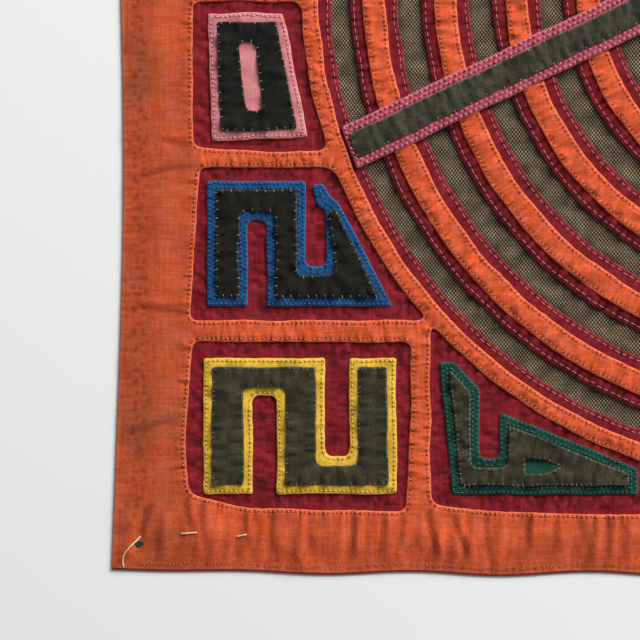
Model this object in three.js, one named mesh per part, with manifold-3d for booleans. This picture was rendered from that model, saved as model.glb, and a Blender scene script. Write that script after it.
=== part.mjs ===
// A mola panel: a rectangle of layered cotton, worked in reverse applique and lying face up.
// Millimetres, +Z up. The origin is on the underside at the middle of the panel, with +X along
// the width and +Y towards the top edge.
//
// The cloths lie on each other as they are sewn: an olive backing, a red ground that is cut away
// in rings, an orange top cloth with windows in it, then patches in the windows and a pointed band
// on each side that crosses the rings.

import * as THREE from "three";
import { mergeVertices } from "three/addons/utils/BufferGeometryUtils.js";
import Module from "manifold-3d";

// Panel outline
const CORNER_X = 226; // half the width, at the corners
const CORNER_Y = 190.5; // half the height, at the corners
const SIDE_DRAW_IN = 3; // the left and right edges draw in by this much half way up
const SIDE_WAVER = 0.9; // and waver by this much
const SIDE_WAVES = 0.75; // wavers between the middle and a corner
const HEM_BULGE = 1.5; // the top and bottom hems bow out by this much half way along
const HEM_WAVER = 0.7; // and waver by this much
const HEM_WAVES = 3.85; // wavers between the middle and a corner, with their start in radians
const HEM_PHASE = -0.4;
const HEM_STEP = 6; // spacing of outline points along the top and bottom hems
const SIDE_STEP = 16; // and along the left and right edges
const PEEK = 0.6; // the cloths under the top one show this much past its hems

// Cloth layers
const CLOTH = 1; // thickness of one cloth
const LAYER_GAP = 0.3; // clearance between two cloths
const level = (layer) => layer * (CLOTH + LAYER_GAP); // underside height of a layer

// Pleats in the top cloth's border: where they stand along the hem, how wide and how high they are
const PLEATS = [
  { at: -196, width: 20, rise: 0.7 },
  { at: -168, width: 16, rise: 0.9 },
  { at: -146, width: 18, rise: 0.6 },
  { at: -118, width: 22, rise: 1.1 },
  { at: -92, width: 16, rise: 0.7 },
  { at: -66, width: 20, rise: 0.9 },
  { at: -38, width: 18, rise: 0.6 },
  { at: -8, width: 22, rise: 0.8 },
  { at: 24, width: 18, rise: 1.0 },
  { at: 52, width: 20, rise: 0.7 },
  { at: 84, width: 24, rise: 0.9 },
  { at: 116, width: 18, rise: 0.6 },
  { at: 148, width: 22, rise: 1.0 },
  { at: 184, width: 20, rise: 0.7 },
];
// Across the border, from the hem inwards: how deep each row lies and its share of a pleat's rise
const BORDER_ROWS = [
  { inset: 0, share: 0.5 },
  { inset: 7, share: 1 },
  { inset: 15, share: 0 },
];
const FRAME_INSET = 14; // the flat part of the top cloth starts here, inside the last border row

// Rings, worked out from the middle of the panel
const RING_PITCH = 23.35; // from one orange ring to the next, and from the middle to the first
const RING_COUNT = 6;
const ORANGE_WIDTH = 7.5; // width of an orange ring
const RED_MARGIN = 4.1; // red showing on each side of an orange ring
const OUTER_RING = { inner: 158.3, outer: 164 }; // the ring that is part of the top cloth
const GROUND_HOLE = OUTER_RING.inner - 3.9; // edge of the red ground inside the outer ring
const SEGMENT_LENGTH = 13; // length of one straight step round a circle
const FEWEST_SEGMENTS = 20;

// Windows in the lower left quarter, each a hand-cut outline, anticlockwise from its lower left
// corner. What lies inside the outer ring follows the ring. A third number rounds a corner more.
const WINDOWS = [
  [[-199.4, -52.2], [-178, -53.9, 8], [-120, -53.6], [-120, -4.6], [-199.5, -4.6]],
  [[-200.4, -109.2], [-100, -109.2], [-100, -59.1], [-197.2, -59.1]],
  [
    [-200.9, -166.4, 4], [-181, -170.9, 8], [-129.6, -171.9], [-127.8, -135, 8],
    [-128.1, -116.5], [-199.4, -116.2], [-202, -146, 10],
  ],
  [[-121.4, -169.6, 4], [-103, -171.8, 8], [-66, -173, 10], [-3, -172.2], [-3, -100], [-121.6, -100]],
];
const WINDOW_CORNER = 2.8;
const MEET_CORNER = 4.5; // where a window's side meets the ring
const ARC_STEP = 9; // spacing of the points where a window follows the ring

// Patches: a coloured cloth with a darker one on it that leaves a rim showing all round
const RIM = 2.9;
const PATCH_CORNER = 0.9;
const CHANNEL_CORNER = 2.6; // the rounded end of a meander's channel
const TIP_START = 6; // the last leg's end comes after this many corners of a meander
const SLOT_CORNER = 2.5;

// The slant-sided block and its slot
const BLOCK = [[-193.2, -50.5], [-161.6, -49.2], [-169.8, -8.3], [-194.6, -8.5]];
const BLOCK_SLOT = [[-182, -40.6], [-176.4, -40.6], [-178.9, -17.9], [-184.5, -17.9]];

// Two meanders: three legs joined at the top and then at the bottom, with a channel between them
const RING_MEANDER = {
  left: -194.8,
  right: -133.8,
  bottom: -104.6,
  top: -63.5,
  firstLeg: 13.4,
  channel: 6.2,
  secondLeg: 12.8,
  notch: 7,
  tie: 13, // depth of the cloth that joins two legs
  tip: [[-151.6, -70.4], [-156, -70.4]], // end of the last leg
  // The last leg's rim cloth ends in a bent knob, and its dark cloth in a blunt point
  knob: [
    [-151.6, -70.4], [-154.3, -68.4, 0.8], [-156.8, -64.3, 1.3], [-160, -64.8, 1.3],
    [-159, -71, 1.5], [-156, -73.2, 0.8],
  ],
  knobTop: [[-151.9, -74], [-153.4, -72.6], [-155, -74.4]],
};
const CORNER_MEANDER = {
  left: -196,
  right: -132.3,
  bottom: -166.2,
  top: -121.6,
  firstLeg: 16.2,
  channel: 7.9,
  secondLeg: 15.8,
  notch: 8,
  tie: 12.3,
  tip: [[-132.9, -121.6], [-148.2, -121.6]],
};

// The low stepped patch beside the bottom hem, and the slit in it
const STEP_PATCH = {
  top: -122.8,
  topLeft: -118.6,
  topRight: -113.5,
  bottomLeft: -114.2,
  bottom: -166.4,
  shoulderX: -105.4,
  shoulderY: -131.5,
  channelRight: -98.8,
  channelBottom: -154.6,
  stepTop: -139.2,
  toeX: -53.6,
  toeTop: -157.6,
};
const STEP_SLIT = { left: -90.4, right: -78.6, bottom: -159.8, top: -154.6, nose: 2.4 };

// The pointed band over the rings: two arms that meet on the X axis
const BAND = { width: 14.8, rim: 3.3, endRim: 1.5, tilt: 25.57, pointX: -37.75, endRadius: 157.4 };

// Colour and roughness of each cloth
const CLOTHS = {
  olive: { color: 0x5c5440, roughness: 0.95 },
  red: { color: 0x7b2029, roughness: 0.9 },
  orange: { color: 0xc9582f, roughness: 0.9 },
  pink: { color: 0xc97a80, roughness: 0.9 },
  blue: { color: 0x1f5f9c, roughness: 0.9 },
  yellow: { color: 0xd8b23a, roughness: 0.9 },
  green: { color: 0x1a5a49, roughness: 0.9 },
  moss: { color: 0x4a4836, roughness: 0.95 },
  black: { color: 0x23251f, roughness: 0.95 },
};

// Each quarter of the panel is the lower left one mirrored, with its own colours for the patches
const QUARTERS = [
  { name: "lower_left", flipX: 1, flipY: 1, rims: ["pink", "blue", "yellow", "green"] },
  { name: "lower_right", flipX: -1, flipY: 1, rims: ["blue", "yellow", "pink", "green"] },
  { name: "upper_left", flipX: 1, flipY: -1, rims: ["yellow", "green", "blue", "pink"] },
  { name: "upper_right", flipX: -1, flipY: -1, rims: ["green", "pink", "yellow", "blue"] },
];
const PATCH_NAMES = ["block", "ring_meander", "corner_meander", "step"];
const PATCH_TOPS = ["black", "black", "moss", "moss"];

const wasm = await Module();
wasm.setup();

function clothMaterial(name) {
  return new THREE.MeshStandardMaterial({ ...CLOTHS[name], metalness: 0, name });
}

// Outlines

// Half-depth of the bottom hem at x, and half-width of the left edge at y. The top and right edges
// are these turned through half a turn, so the panel's box stays centred on the origin.
function hemY(x) {
  const u = x / CORNER_X;
  const waver = HEM_WAVER * Math.sin(2 * Math.PI * HEM_WAVES * u + HEM_PHASE);
  return -(CORNER_Y + (1 - u ** 4) * (HEM_BULGE + waver));
}

function sideX(y) {
  const v = y / CORNER_Y;
  const waver = SIDE_WAVER * Math.sin(2 * Math.PI * SIDE_WAVES * v);
  return -(CORNER_X - (1 - v ** 4) * (SIDE_DRAW_IN - waver));
}

// Places round the panel's edge, anticlockwise from the lower left corner. Each is a function that
// gives the point at some distance in from the edge.
function edgeStations() {
  const stations = [];
  const hemSteps = Math.round((2 * CORNER_X) / HEM_STEP);
  const sideSteps = Math.round((2 * CORNER_Y) / SIDE_STEP);
  const onHem = (turn) => (share) => {
    const x = CORNER_X * (2 * share - 1);
    const at = (inset) => [turn * x * (1 - inset / CORNER_X), turn * (hemY(x) + inset)];
    return { at, along: turn * x, hem: true };
  };
  const onSide = (turn) => (share) => {
    const y = CORNER_Y * (2 * share - 1);
    const at = (inset) => [-turn * (sideX(y) + inset), turn * y * (1 - inset / CORNER_Y)];
    return { at, along: turn * y, hem: false };
  };
  const sides = [
    [onHem(1), hemSteps],
    [onSide(1), sideSteps],
    [onHem(-1), hemSteps],
    [onSide(-1), sideSteps],
  ];
  for (const [place, steps] of sides) {
    for (let i = 0; i < steps; i++) stations.push(place(i / steps));
  }
  return stations;
}

function panelOutline(hemInset, sideInset) {
  return edgeStations().map(({ at, hem }) => at(hem ? hemInset : sideInset));
}

// A closed outline with its corners rounded. A point is [x, y] or [x, y, corner].
function roundedOutline(points, corner) {
  const count = points.length;
  const path = new THREE.Shape();
  points.forEach(([x, y, own], i) => {
    const radius = own ?? corner;
    const before = new THREE.Vector2(...points[(i + count - 1) % count]);
    const after = new THREE.Vector2(...points[(i + 1) % count]);
    const here = new THREE.Vector2(x, y);
    const trimTo = (other) => {
      const reach = Math.min(radius, here.distanceTo(other) * 0.49);
      return other.clone().sub(here).setLength(reach).add(here);
    };
    const start = radius > 0 ? trimTo(before) : here;
    if (i === 0) path.moveTo(start.x, start.y);
    else path.lineTo(start.x, start.y);
    if (radius > 0) {
      const end = trimTo(after);
      path.quadraticCurveTo(x, y, end.x, end.y);
    }
  });
  path.closePath();
  return path;
}

// A closed outline moved inwards. The points run anticlockwise.
function insetOutline(points, distance) {
  const count = points.length;
  const lines = points.map(([x, y], i) => {
    const [nextX, nextY] = points[(i + 1) % count];
    const length = Math.hypot(nextX - x, nextY - y);
    const dx = (nextX - x) / length;
    const dy = (nextY - y) / length;
    return { x: x - dy * distance, y: y + dx * distance, dx, dy };
  });
  return points.map((point, i) => {
    const a = lines[(i + count - 1) % count];
    const b = lines[i];
    const cross = a.dx * b.dy - a.dy * b.dx;
    const along = ((b.x - a.x) * b.dy - (b.y - a.y) * b.dx) / cross;
    return [a.x + a.dx * along, a.y + a.dy * along, ...point.slice(2)];
  });
}

function circleOutline(radius) {
  const steps = Math.max(FEWEST_SEGMENTS, Math.round((2 * Math.PI * radius) / SEGMENT_LENGTH));
  const points = Array.from({ length: steps }, (_, i) => {
    const angle = (2 * Math.PI * i) / steps;
    return [radius * Math.cos(angle), radius * Math.sin(angle)];
  });
  return roundedOutline(points, 0);
}

// Points on the outer ring from one angle to another, ends left out.
function arcBetween(from, to, radius) {
  const sweep = Math.atan2(Math.sin(to - from), Math.cos(to - from));
  const steps = Math.max(2, Math.ceil((Math.abs(sweep) * radius) / ARC_STEP));
  return Array.from({ length: steps - 1 }, (_, i) => {
    const angle = from + (sweep * (i + 1)) / steps;
    return [radius * Math.cos(angle), radius * Math.sin(angle), 0];
  });
}

// The part of a window's outline that lies outside the outer ring.
function windowOutline(corners) {
  const radius = OUTER_RING.outer;
  const outline = [];
  let entry = null;
  corners.forEach((corner, i) => {
    const here = new THREE.Vector2(...corner);
    const side = new THREE.Vector2(...corners[(i + 1) % corners.length]).sub(here);
    const outside = here.length() > radius;
    if (outside) outline.push(corner);
    if (outside === here.clone().add(side).length() > radius) return;
    // Where along the side its distance from the middle is the radius.
    const half = here.dot(side) / side.lengthSq();
    const rest = Math.sqrt(half * half - (here.lengthSq() - radius * radius) / side.lengthSq());
    const meet = here.clone().addScaledVector(side, -half + (outside ? -rest : rest));
    if (outside) entry = meet.angle();
    else outline.push(...arcBetween(entry, meet.angle(), radius));
    outline.push([meet.x, meet.y, MEET_CORNER]);
  });
  return outline;
}

// Solids

// A flat cloth with a closed outline and holes, standing on z. Its corners are drawn in steps.
function flatCloth(outline, holes, z, cornerSteps = 1) {
  outline.holes.push(...holes);
  const options = { depth: CLOTH, bevelEnabled: false, curveSegments: cornerSteps };
  return new THREE.ExtrudeGeometry(outline, options).translate(0, 0, z);
}

function ringCloth(inner, outer, z) {
  return flatCloth(circleOutline(outer), inner > 0 ? [circleOutline(inner)] : [], z);
}

// How far a pleat lifts the top cloth at some place along a hem.
function pleatLift(along) {
  return PLEATS.reduce((sum, { at, width, rise }) => {
    const off = Math.abs(along - at) / (width / 2);
    return off < 1 ? sum + rise * 0.5 * (1 + Math.cos(Math.PI * off)) : sum;
  }, 0);
}

// The border of the top cloth: one sheet that runs round the panel and rises in pleats at the hems.
function pleatedBorder(z) {
  const stations = edgeStations();
  const rows = BORDER_ROWS.length;
  const positions = [];
  for (const { at, along, hem } of stations) {
    const lift = hem ? pleatLift(along) : 0;
    const top = BORDER_ROWS.map(({ inset, share }) => [...at(inset), z + CLOTH + lift * share]);
    const under = BORDER_ROWS.map(({ inset, share }) => [...at(inset), z + lift * share]);
    for (const point of [...top, ...under.reverse()]) positions.push(...point);
  }
  const loop = 2 * rows;
  const index = [];
  for (let s = 0; s < stations.length; s++) {
    const next = (s + 1) % stations.length;
    for (let k = 0; k < loop; k++) {
      const a = s * loop + k;
      const b = s * loop + ((k + 1) % loop);
      const c = next * loop + ((k + 1) % loop);
      const d = next * loop + k;
      index.push(a, d, b, b, d, c);
    }
  }
  const border = new THREE.BufferGeometry();
  border.setAttribute("position", new THREE.Float32BufferAttribute(positions, 3));
  border.setIndex(index);
  return border;
}

// Two closed geometries joined into one.
function joined(first, second) {
  const solid = (geometry) => {
    const bare = geometry.clone();
    bare.deleteAttribute("normal");
    bare.deleteAttribute("uv");
    const merged = mergeVertices(bare, 1e-3);
    return new wasm.Manifold(
      new wasm.Mesh({
        numProp: 3,
        vertProperties: new Float32Array(merged.attributes.position.array),
        triVerts: new Uint32Array(merged.index.array),
      }),
    );
  };
  const mesh = solid(first).add(solid(second)).getMesh();
  const made = new THREE.BufferGeometry();
  made.setAttribute("position", new THREE.Float32BufferAttribute(mesh.vertProperties, 3));
  made.setIndex([...mesh.triVerts]);
  made.computeVertexNormals();
  return made;
}

function piece(name, cloth, geometry) {
  const mesh = new THREE.Mesh(geometry, clothMaterial(cloth));
  mesh.name = name;
  return mesh;
}

// Sub-parts

function backing() {
  const outline = roundedOutline(panelOutline(-PEEK, 0), 0);
  return piece("backing", "olive", flatCloth(outline, [], level(0)));
}

function redGround() {
  const outline = roundedOutline(panelOutline(-PEEK, 0), 0);
  return piece("red_ground", "red", flatCloth(outline, [circleOutline(GROUND_HOLE)], level(1)));
}

function orangeTop() {
  const outline = roundedOutline(panelOutline(FRAME_INSET, FRAME_INSET), 0);
  const windows = QUARTERS.flatMap(({ flipX, flipY }) =>
    WINDOWS.map((window) => {
      const points = windowOutline(window).map(([x, y, corner]) => [x * flipX, y * flipY, corner]);
      return roundedOutline(points, WINDOW_CORNER);
    }),
  );
  const holes = [...windows, circleOutline(OUTER_RING.inner)];
  const frame = flatCloth(outline, holes, level(2), 3);
  return piece("orange_top", "orange", joined(pleatedBorder(level(2)), frame));
}

function rings() {
  const group = new THREE.Group();
  for (let k = 1; k <= RING_COUNT; k++) {
    const inner = k * RING_PITCH - ORANGE_WIDTH / 2;
    const outer = k * RING_PITCH + ORANGE_WIDTH / 2;
    const red = ringCloth(inner - RED_MARGIN, outer + RED_MARGIN, level(1));
    group.add(piece(`red_ring_${k}`, "red", red));
    group.add(piece(`orange_ring_${k}`, "orange", ringCloth(inner, outer, level(2))));
  }
  const dot = ORANGE_WIDTH / 2;
  group.add(piece("red_dot", "red", ringCloth(0, dot + RED_MARGIN, level(1))));
  group.add(piece("orange_dot", "orange", ringCloth(0, dot, level(2))));
  return group;
}

// The pointed band of one side, anticlockwise, with a rim taken off its sides and its ends.
function bandOutline(rim, endRim) {
  const tilt = THREE.MathUtils.degToRad(BAND.tilt);
  const half = BAND.width / 2 - rim;
  const reach = BAND.endRadius - endRim;
  // The edges of the lower arm run through these places on the X axis.
  const pointOuter = BAND.pointX + half / Math.sin(tilt);
  const pointInner = BAND.pointX - half / Math.sin(tilt);
  const end = (pointX) => {
    // Where the edge's line leaves the circle of the arm's end.
    const nearest = pointX * Math.cos(tilt);
    const offset = Math.abs(pointX * Math.sin(tilt));
    const travel = Math.sqrt(reach * reach - offset * offset) + nearest;
    return [pointX - travel * Math.cos(tilt), -travel * Math.sin(tilt)];
  };
  const [outerX, outerY] = end(pointOuter);
  const [innerX, innerY] = end(pointInner);
  return [
    [outerX, outerY],
    [pointOuter, 0],
    [outerX, -outerY],
    [innerX, -innerY],
    [pointInner, 0],
    [innerX, innerY],
  ];
}

function bands() {
  const group = new THREE.Group();
  for (const [side, flip] of [["left", 1], ["right", -1]]) {
    const half = new THREE.Group();
    half.scale.x = flip;
    const rim = roundedOutline(bandOutline(0, 0), PATCH_CORNER);
    const top = roundedOutline(bandOutline(BAND.rim, BAND.endRim), PATCH_CORNER);
    half.add(piece(`band_${side}_rim`, "pink", flatCloth(rim, [], level(3), 2)));
    half.add(piece(`band_${side}_top`, "moss", flatCloth(top, [], level(4), 2)));
    group.add(half);
  }
  return group;
}

// Three legs from left to right. The first two are tied at the top, the last two at the bottom.
function meanderOutline(m, tip) {
  const channelLeft = m.left + m.firstLeg;
  const channelRight = channelLeft + m.channel;
  const notchLeft = channelRight + m.secondLeg;
  const notchRight = notchLeft + m.notch;
  const channelTop = m.top - m.tie;
  const notchBottom = m.bottom + m.tie;
  return [
    [m.left, m.bottom],
    [channelLeft, m.bottom],
    [channelLeft, channelTop, CHANNEL_CORNER],
    [channelRight, channelTop, CHANNEL_CORNER],
    [channelRight, m.bottom],
    [m.right, m.bottom],
    ...tip,
    [notchRight, notchBottom, CHANNEL_CORNER],
    [notchLeft, notchBottom, CHANNEL_CORNER],
    [notchLeft, m.top],
    [m.left, m.top],
  ];
}

// A meander's dark cloth: its outline moved in, with a blunt point where its rim has a knob.
function meanderTop(m) {
  const inset = insetOutline(meanderOutline(m, m.tip), RIM);
  if (m.knobTop) inset.splice(TIP_START, m.tip.length, ...m.knobTop);
  return inset;
}

function stepOutline(s) {
  return [
    [s.bottomLeft, s.bottom],
    [s.toeX, s.bottom],
    [s.toeX, s.toeTop],
    [s.channelRight, s.stepTop],
    [s.channelRight, s.channelBottom, CHANNEL_CORNER],
    [s.shoulderX, s.channelBottom, CHANNEL_CORNER],
    [s.shoulderX, s.shoulderY],
    [s.topRight, s.top],
    [s.topLeft, s.top],
  ];
}

function slitOutline({ left, right, bottom, top, nose }) {
  const middle = (bottom + top) / 2;
  return [
    [left, bottom],
    [right - nose, bottom],
    [right, middle],
    [right - nose, top],
    [left, top],
  ];
}

// The four patches of one quarter: a coloured rim cloth and a dark cloth on it.
function quarterPatches({ name, flipX, flipY, rims }) {
  const group = new THREE.Group();
  group.scale.set(flipX, flipY, 1);
  const step = stepOutline(STEP_PATCH);
  const outlines = [
    [BLOCK, insetOutline(BLOCK, RIM)],
    [meanderOutline(RING_MEANDER, RING_MEANDER.knob), meanderTop(RING_MEANDER)],
    [meanderOutline(CORNER_MEANDER, CORNER_MEANDER.tip), meanderTop(CORNER_MEANDER)],
    [step, insetOutline(step, RIM)],
  ];
  const slots = [
    [roundedOutline(BLOCK_SLOT, SLOT_CORNER)],
    [],
    [],
    [roundedOutline(slitOutline(STEP_SLIT), PATCH_CORNER / 2)],
  ];
  outlines.forEach(([rimLine, topLine], i) => {
    const label = `${name}_${PATCH_NAMES[i]}`;
    const rim = roundedOutline(rimLine, PATCH_CORNER);
    const top = roundedOutline(topLine, PATCH_CORNER);
    group.add(piece(`${label}_rim`, rims[i], flatCloth(rim, [], level(2), 3)));
    group.add(piece(`${label}_top`, PATCH_TOPS[i], flatCloth(top, slots[i], level(3), 3)));
  });
  return group;
}

const mola = new THREE.Group();
mola.name = "mola_panel";
mola.add(backing(), redGround(), orangeTop(), rings(), bands(), ...QUARTERS.map(quarterPatches));

export default mola;
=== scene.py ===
"""A mola panel of layered cotton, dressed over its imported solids.

The solids give every cloth its outline and its place. Here each cloth is made again as a sewn
sheet with a turned fold, needle dents, gathers and a weave, and its stitches are laid on it.
Sizes are in millimetres in the panel's own frame until a mesh is written, which is in metres.
"""

import logging
import math
from collections.abc import Callable, Sequence
from dataclasses import dataclass, field
from enum import Enum, IntEnum
from functools import partial
from typing import Any

import bpy
import numpy as np
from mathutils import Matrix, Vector
from mathutils.geometry import delaunay_2d_cdt
from mathutils.kdtree import KDTree


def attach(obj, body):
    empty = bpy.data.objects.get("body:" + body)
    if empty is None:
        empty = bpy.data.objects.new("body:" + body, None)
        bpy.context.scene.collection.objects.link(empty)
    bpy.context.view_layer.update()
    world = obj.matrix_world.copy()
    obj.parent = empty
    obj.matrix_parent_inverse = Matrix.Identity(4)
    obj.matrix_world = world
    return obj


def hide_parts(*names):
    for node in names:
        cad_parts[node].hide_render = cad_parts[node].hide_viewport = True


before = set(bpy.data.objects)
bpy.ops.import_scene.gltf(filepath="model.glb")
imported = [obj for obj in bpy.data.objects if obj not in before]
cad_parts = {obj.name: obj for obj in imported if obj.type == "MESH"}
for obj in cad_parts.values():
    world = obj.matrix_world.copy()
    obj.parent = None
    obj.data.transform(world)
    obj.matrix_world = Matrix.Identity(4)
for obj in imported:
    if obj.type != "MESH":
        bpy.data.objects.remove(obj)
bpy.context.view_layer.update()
log = logging.getLogger("mola")

MM = 0.001
CLOTH = 1.0  # thickness of one cloth
LAYER = 1.3  # from one cloth to the next
TOUCH = 0.05  # a turned fold ends this far above the cloth it is sewn to
PRESS = (0.65, 1.6, 2.55)  # how far the hem presses down the faces of the three lowest cloths
PRESS_REACH = 14.0  # and how far in from the panel's edge
MIX_A, MIX_B, MIX_OUT = 6, 7, 2  # the colour sockets of a Mix node

Heights = Callable[[np.ndarray], np.ndarray]
Corners = Sequence[Sequence[float]]


class Slot(Enum):
    """The record's material slots."""

    OLIVE = "olive_cloth"
    RED = "red_cloth"
    ORANGE = "orange_cloth"
    PINK = "pink_cloth"
    BLUE = "blue_cloth"
    YELLOW = "yellow_cloth"
    GREEN = "green_cloth"
    MOSS = "moss_cloth"
    BLACK = "black_cloth"


class Stitch(Enum):
    """How the thread of a seam shows."""

    RUNNING = "dashes along the fold"
    WHIP = "ticks over the fold"
    HIDDEN = "none"


class Salt(IntEnum):
    """Keeps the random draws of one fold apart."""

    STRAY = 1
    GATHER = 2
    SEWING = 3
    HOLES = 4
    PUCKER = 5
    QUICK_STRAY = 6


def to_linear(code: str) -> tuple[float, float, float, float]:
    """Turns an sRGB hex colour into linear RGBA.

    Args:
        code: Six hex digits.

    Returns:
        Linear red, green, blue and an alpha of 1.
    """
    parts = [int(code[i : i + 2], 16) / 255 for i in (0, 2, 4)]
    linear = [c / 12.92 if c <= 0.04045 else ((c + 0.055) / 1.055) ** 2.4 for c in parts]
    return (linear[0], linear[1], linear[2], 1.0)


def add_node(
    tree: bpy.types.NodeTree,
    kind: str,
    inputs: dict[str | int, Any] | None = None,
    out: str | int = 0,
) -> bpy.types.NodeSocket | None:
    """Adds a node with its settings and links.

    Args:
        tree: The material's or world's node tree.
        kind: The node's type name, without the ShaderNode that it starts with.
        inputs: Values and output sockets by the input that takes them, and properties by name.
        out: The output that is wanted.

    Returns:
        That output, or None where the node has no output.
    """
    node = tree.nodes.new(f"ShaderNode{kind}")
    for key, value in (inputs or {}).items():
        if isinstance(value, bpy.types.NodeSocket):
            tree.links.new(value, node.inputs[key])
        elif isinstance(key, int) or key in node.inputs:
            node.inputs[key].default_value = value
        else:
            setattr(node, key, value)
    return node.outputs[out] if len(node.outputs) else None


@dataclass(frozen=True)
class Finish:
    """What a piece is made of, as a material of that name."""

    name: str

    def material(self) -> bpy.types.Material:
        """Returns the finished material, made on first use."""
        made = bpy.data.materials.get(self.name)
        if made is None:
            made = bpy.data.materials.new(self.name)
            made.use_nodes = True
            tree = made.node_tree
            tree.nodes.clear()
            add_node(tree, "OutputMaterial", {"Surface": self.shader(tree)})
        return made

    def shader(self, tree: bpy.types.NodeTree) -> bpy.types.NodeSocket:
        """Adds the shader's nodes and returns its output."""
        raise NotImplementedError


@dataclass(frozen=True)
class PlainWeave(Finish):
    """Plain-woven cotton: two sets of threads that pass over and under each other.

    Each crossing shows the warp or the weft in turn, so the eye sees a fine chequer of two close
    tones. A fold is paler, a painted highlight along its roll; needle dents and creases are darker,
    painted shade; and old cloth is faded and uneven.
    """

    slot: Slot
    warp: str
    weft: str
    # fold: the painted highlight along a fold's roll
    fold: str
    # dent: the painted shade in needle holes, tucks, creases and hollows
    dent: str
    faded: str
    stain: str
    pitch_mm: tuple[float, float] = (0.7, 0.7)  # across and up, drawn coarser than its 0.4 to show
    contrast: float = 0.18
    bias: float = 0.0  # positive where more of the weft shows
    dashes: bool = False  # the warp shows as dashes, wide and thin, as in a coarse cloth
    dash_cut: float = 0.3  # how much of a wave's height those dashes are cut off at
    mottle: float = 0.12
    bump: float = 0.35
    roughness: float = 0.9
    sheen: float = 0.08

    def _crossings(
        self, tree: bpy.types.NodeTree, place: bpy.types.NodeSocket
    ) -> bpy.types.NodeSocket:
        """Adds the chequer of warp and weft.

        Args:
            tree: The material's node tree.
            place: The output that gives the place on the cloth.

        Returns:
            An output that is 1 where the weft lies on top and -1 where the warp does.
        """
        # A wave texture repeats every pi/10 over its scale, and a plain weave every two threads.
        signed = []
        cuts = (self.dash_cut if self.dashes else 0.0, 0.0)
        for direction, pitch, cut in zip("XY", self.pitch_mm, cuts):
            wave = add_node(tree, "TexWave", {
                "bands_direction": direction, "Scale": math.pi / 10 / (2 * pitch * MM),
                "Distortion": 2.2, "Detail": 1.0, "Detail Scale": 0.12, "Vector": place,
            }, "Fac")
            signed.append(add_node(tree, "MapRange", {
                "Value": wave, "From Min": cut, "From Max": 1 - cut, "To Min": -1.0, "To Max": 1.0,
            }))
        crossing = add_node(tree, "Math", {"operation": "MULTIPLY", 0: signed[0], 1: signed[1]})
        if self.dashes:
            thin = add_node(tree, "Math", {"operation": "ABSOLUTE", 0: signed[1]})
            crossing = add_node(tree, "Math", {"operation": "MULTIPLY", 0: crossing, 1: thin})
        return crossing

    def shader(self, tree: bpy.types.NodeTree) -> bpy.types.NodeSocket:
        """Adds the shader's nodes and returns its output."""
        place = add_node(tree, "TexCoord", out="Object")
        fade, tone = (
            add_node(tree, "Attribute", {"attribute_name": name}, "Fac") for name in ("fade", "tone")
        )
        crossing = self._crossings(tree, place)
        share = add_node(tree, "Math", {
            "operation": "MULTIPLY_ADD", 0: crossing, 1: 0.5 * self.contrast, 2: 0.5 + self.bias,
        })
        # Stains are blotches about 25 mm across and clouds of uneven dye about 5 mm. The nap, which
        # is the fuzz of worn cotton, is in tufts of about 0.8 mm.
        blotch, clouds, nap = (
            add_node(
                tree, "TexNoise", {"Scale": 1 / (size * MM), "Detail": detail, "Vector": place}, "Fac"
            )
            for size, detail in ((25, 3.0), (5, 4.0), (0.8, 2.0))
        )
        # Slubs: single threads are thicker or paler for 5 to 10 mm of their run.
        slubs = []
        for stretch in ((1.0, 0.1, 1.0), (0.1, 1.0, 1.0)):
            run = add_node(tree, "Mapping", {"Scale": stretch, "Vector": place})
            fine = 1 / (1.3 * self.pitch_mm[1] * MM)
            slubs.append(
                add_node(tree, "TexNoise", {"Scale": fine, "Detail": 1.0, "Vector": run}, "Fac")
            )
        threads = add_node(tree, "Math", {"operation": "ADD", 0: slubs[0], 1: slubs[1]})
        uneven = clouds
        for amount, source in ((0.4, threads), (1.2, nap)):
            uneven = add_node(
                tree, "Math", {"operation": "MULTIPLY_ADD", 0: source, 1: amount, 2: uneven}
            )
        # The thicker threads are rubbed most, so they have lost some of their dye.
        swing = 1.6 * self.mottle
        stained, value, dye = (
            add_node(tree, "MapRange", {
                "Value": source, "From Min": low, "From Max": high, "To Min": start, "To Max": end,
            })
            for source, low, high, start, end in (
                (blotch, 0.48, 0.72, 0.0, 0.7),
                (uneven, 1.05, 1.95, 1 - swing, 1 + swing),
                (threads, 0.75, 1.25, 1.03, 0.965),
            )
        )
        # Stains show only where the cloth has faded.
        stained = add_node(tree, "Math", {"operation": "MULTIPLY", 0: stained, 1: fade})
        colour: Any = to_linear(self.warp)
        for amount, tint in ((share, self.weft), (fade, self.faded), (stained, self.stain)):
            colour = add_node(
                tree, "Mix",
                {"data_type": "RGBA", 0: amount, MIX_A: colour, MIX_B: to_linear(tint)}, MIX_OUT,
            )
        colour = add_node(
            tree, "HueSaturation", {"Saturation": dye, "Value": value, "Color": colour}
        )
        # The painted shading mixes in a painted highlight on the folds and painted shade in holes,
        # creases and hollows.
        for sign, tint in ((1.0, self.fold), (-1.0, self.dent)):
            amount = add_node(
                tree, "Math", {"operation": "MULTIPLY", "use_clamp": True, 0: tone, 1: sign}
            )
            colour = add_node(
                tree, "Mix",
                {"data_type": "RGBA", 0: amount, MIX_A: colour, MIX_B: to_linear(tint)}, MIX_OUT,
            )
        crown = add_node(tree, "Math", {"operation": "ABSOLUTE", 0: crossing})
        rise = add_node(tree, "Math", {"operation": "MULTIPLY_ADD", 0: crown, 1: 0.6, 2: uneven})
        normal = add_node(
            tree, "Bump", {"Strength": self.bump, "Distance": 0.15 * MM, "Height": rise}
        )
        return add_node(tree, "BsdfPrincipled", {
            "Base Color": colour, "Normal": normal, "Roughness": self.roughness,
            "Specular IOR Level": 0.15, "Sheen Weight": self.sheen, "Sheen Roughness": 0.5,
        })


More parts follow.
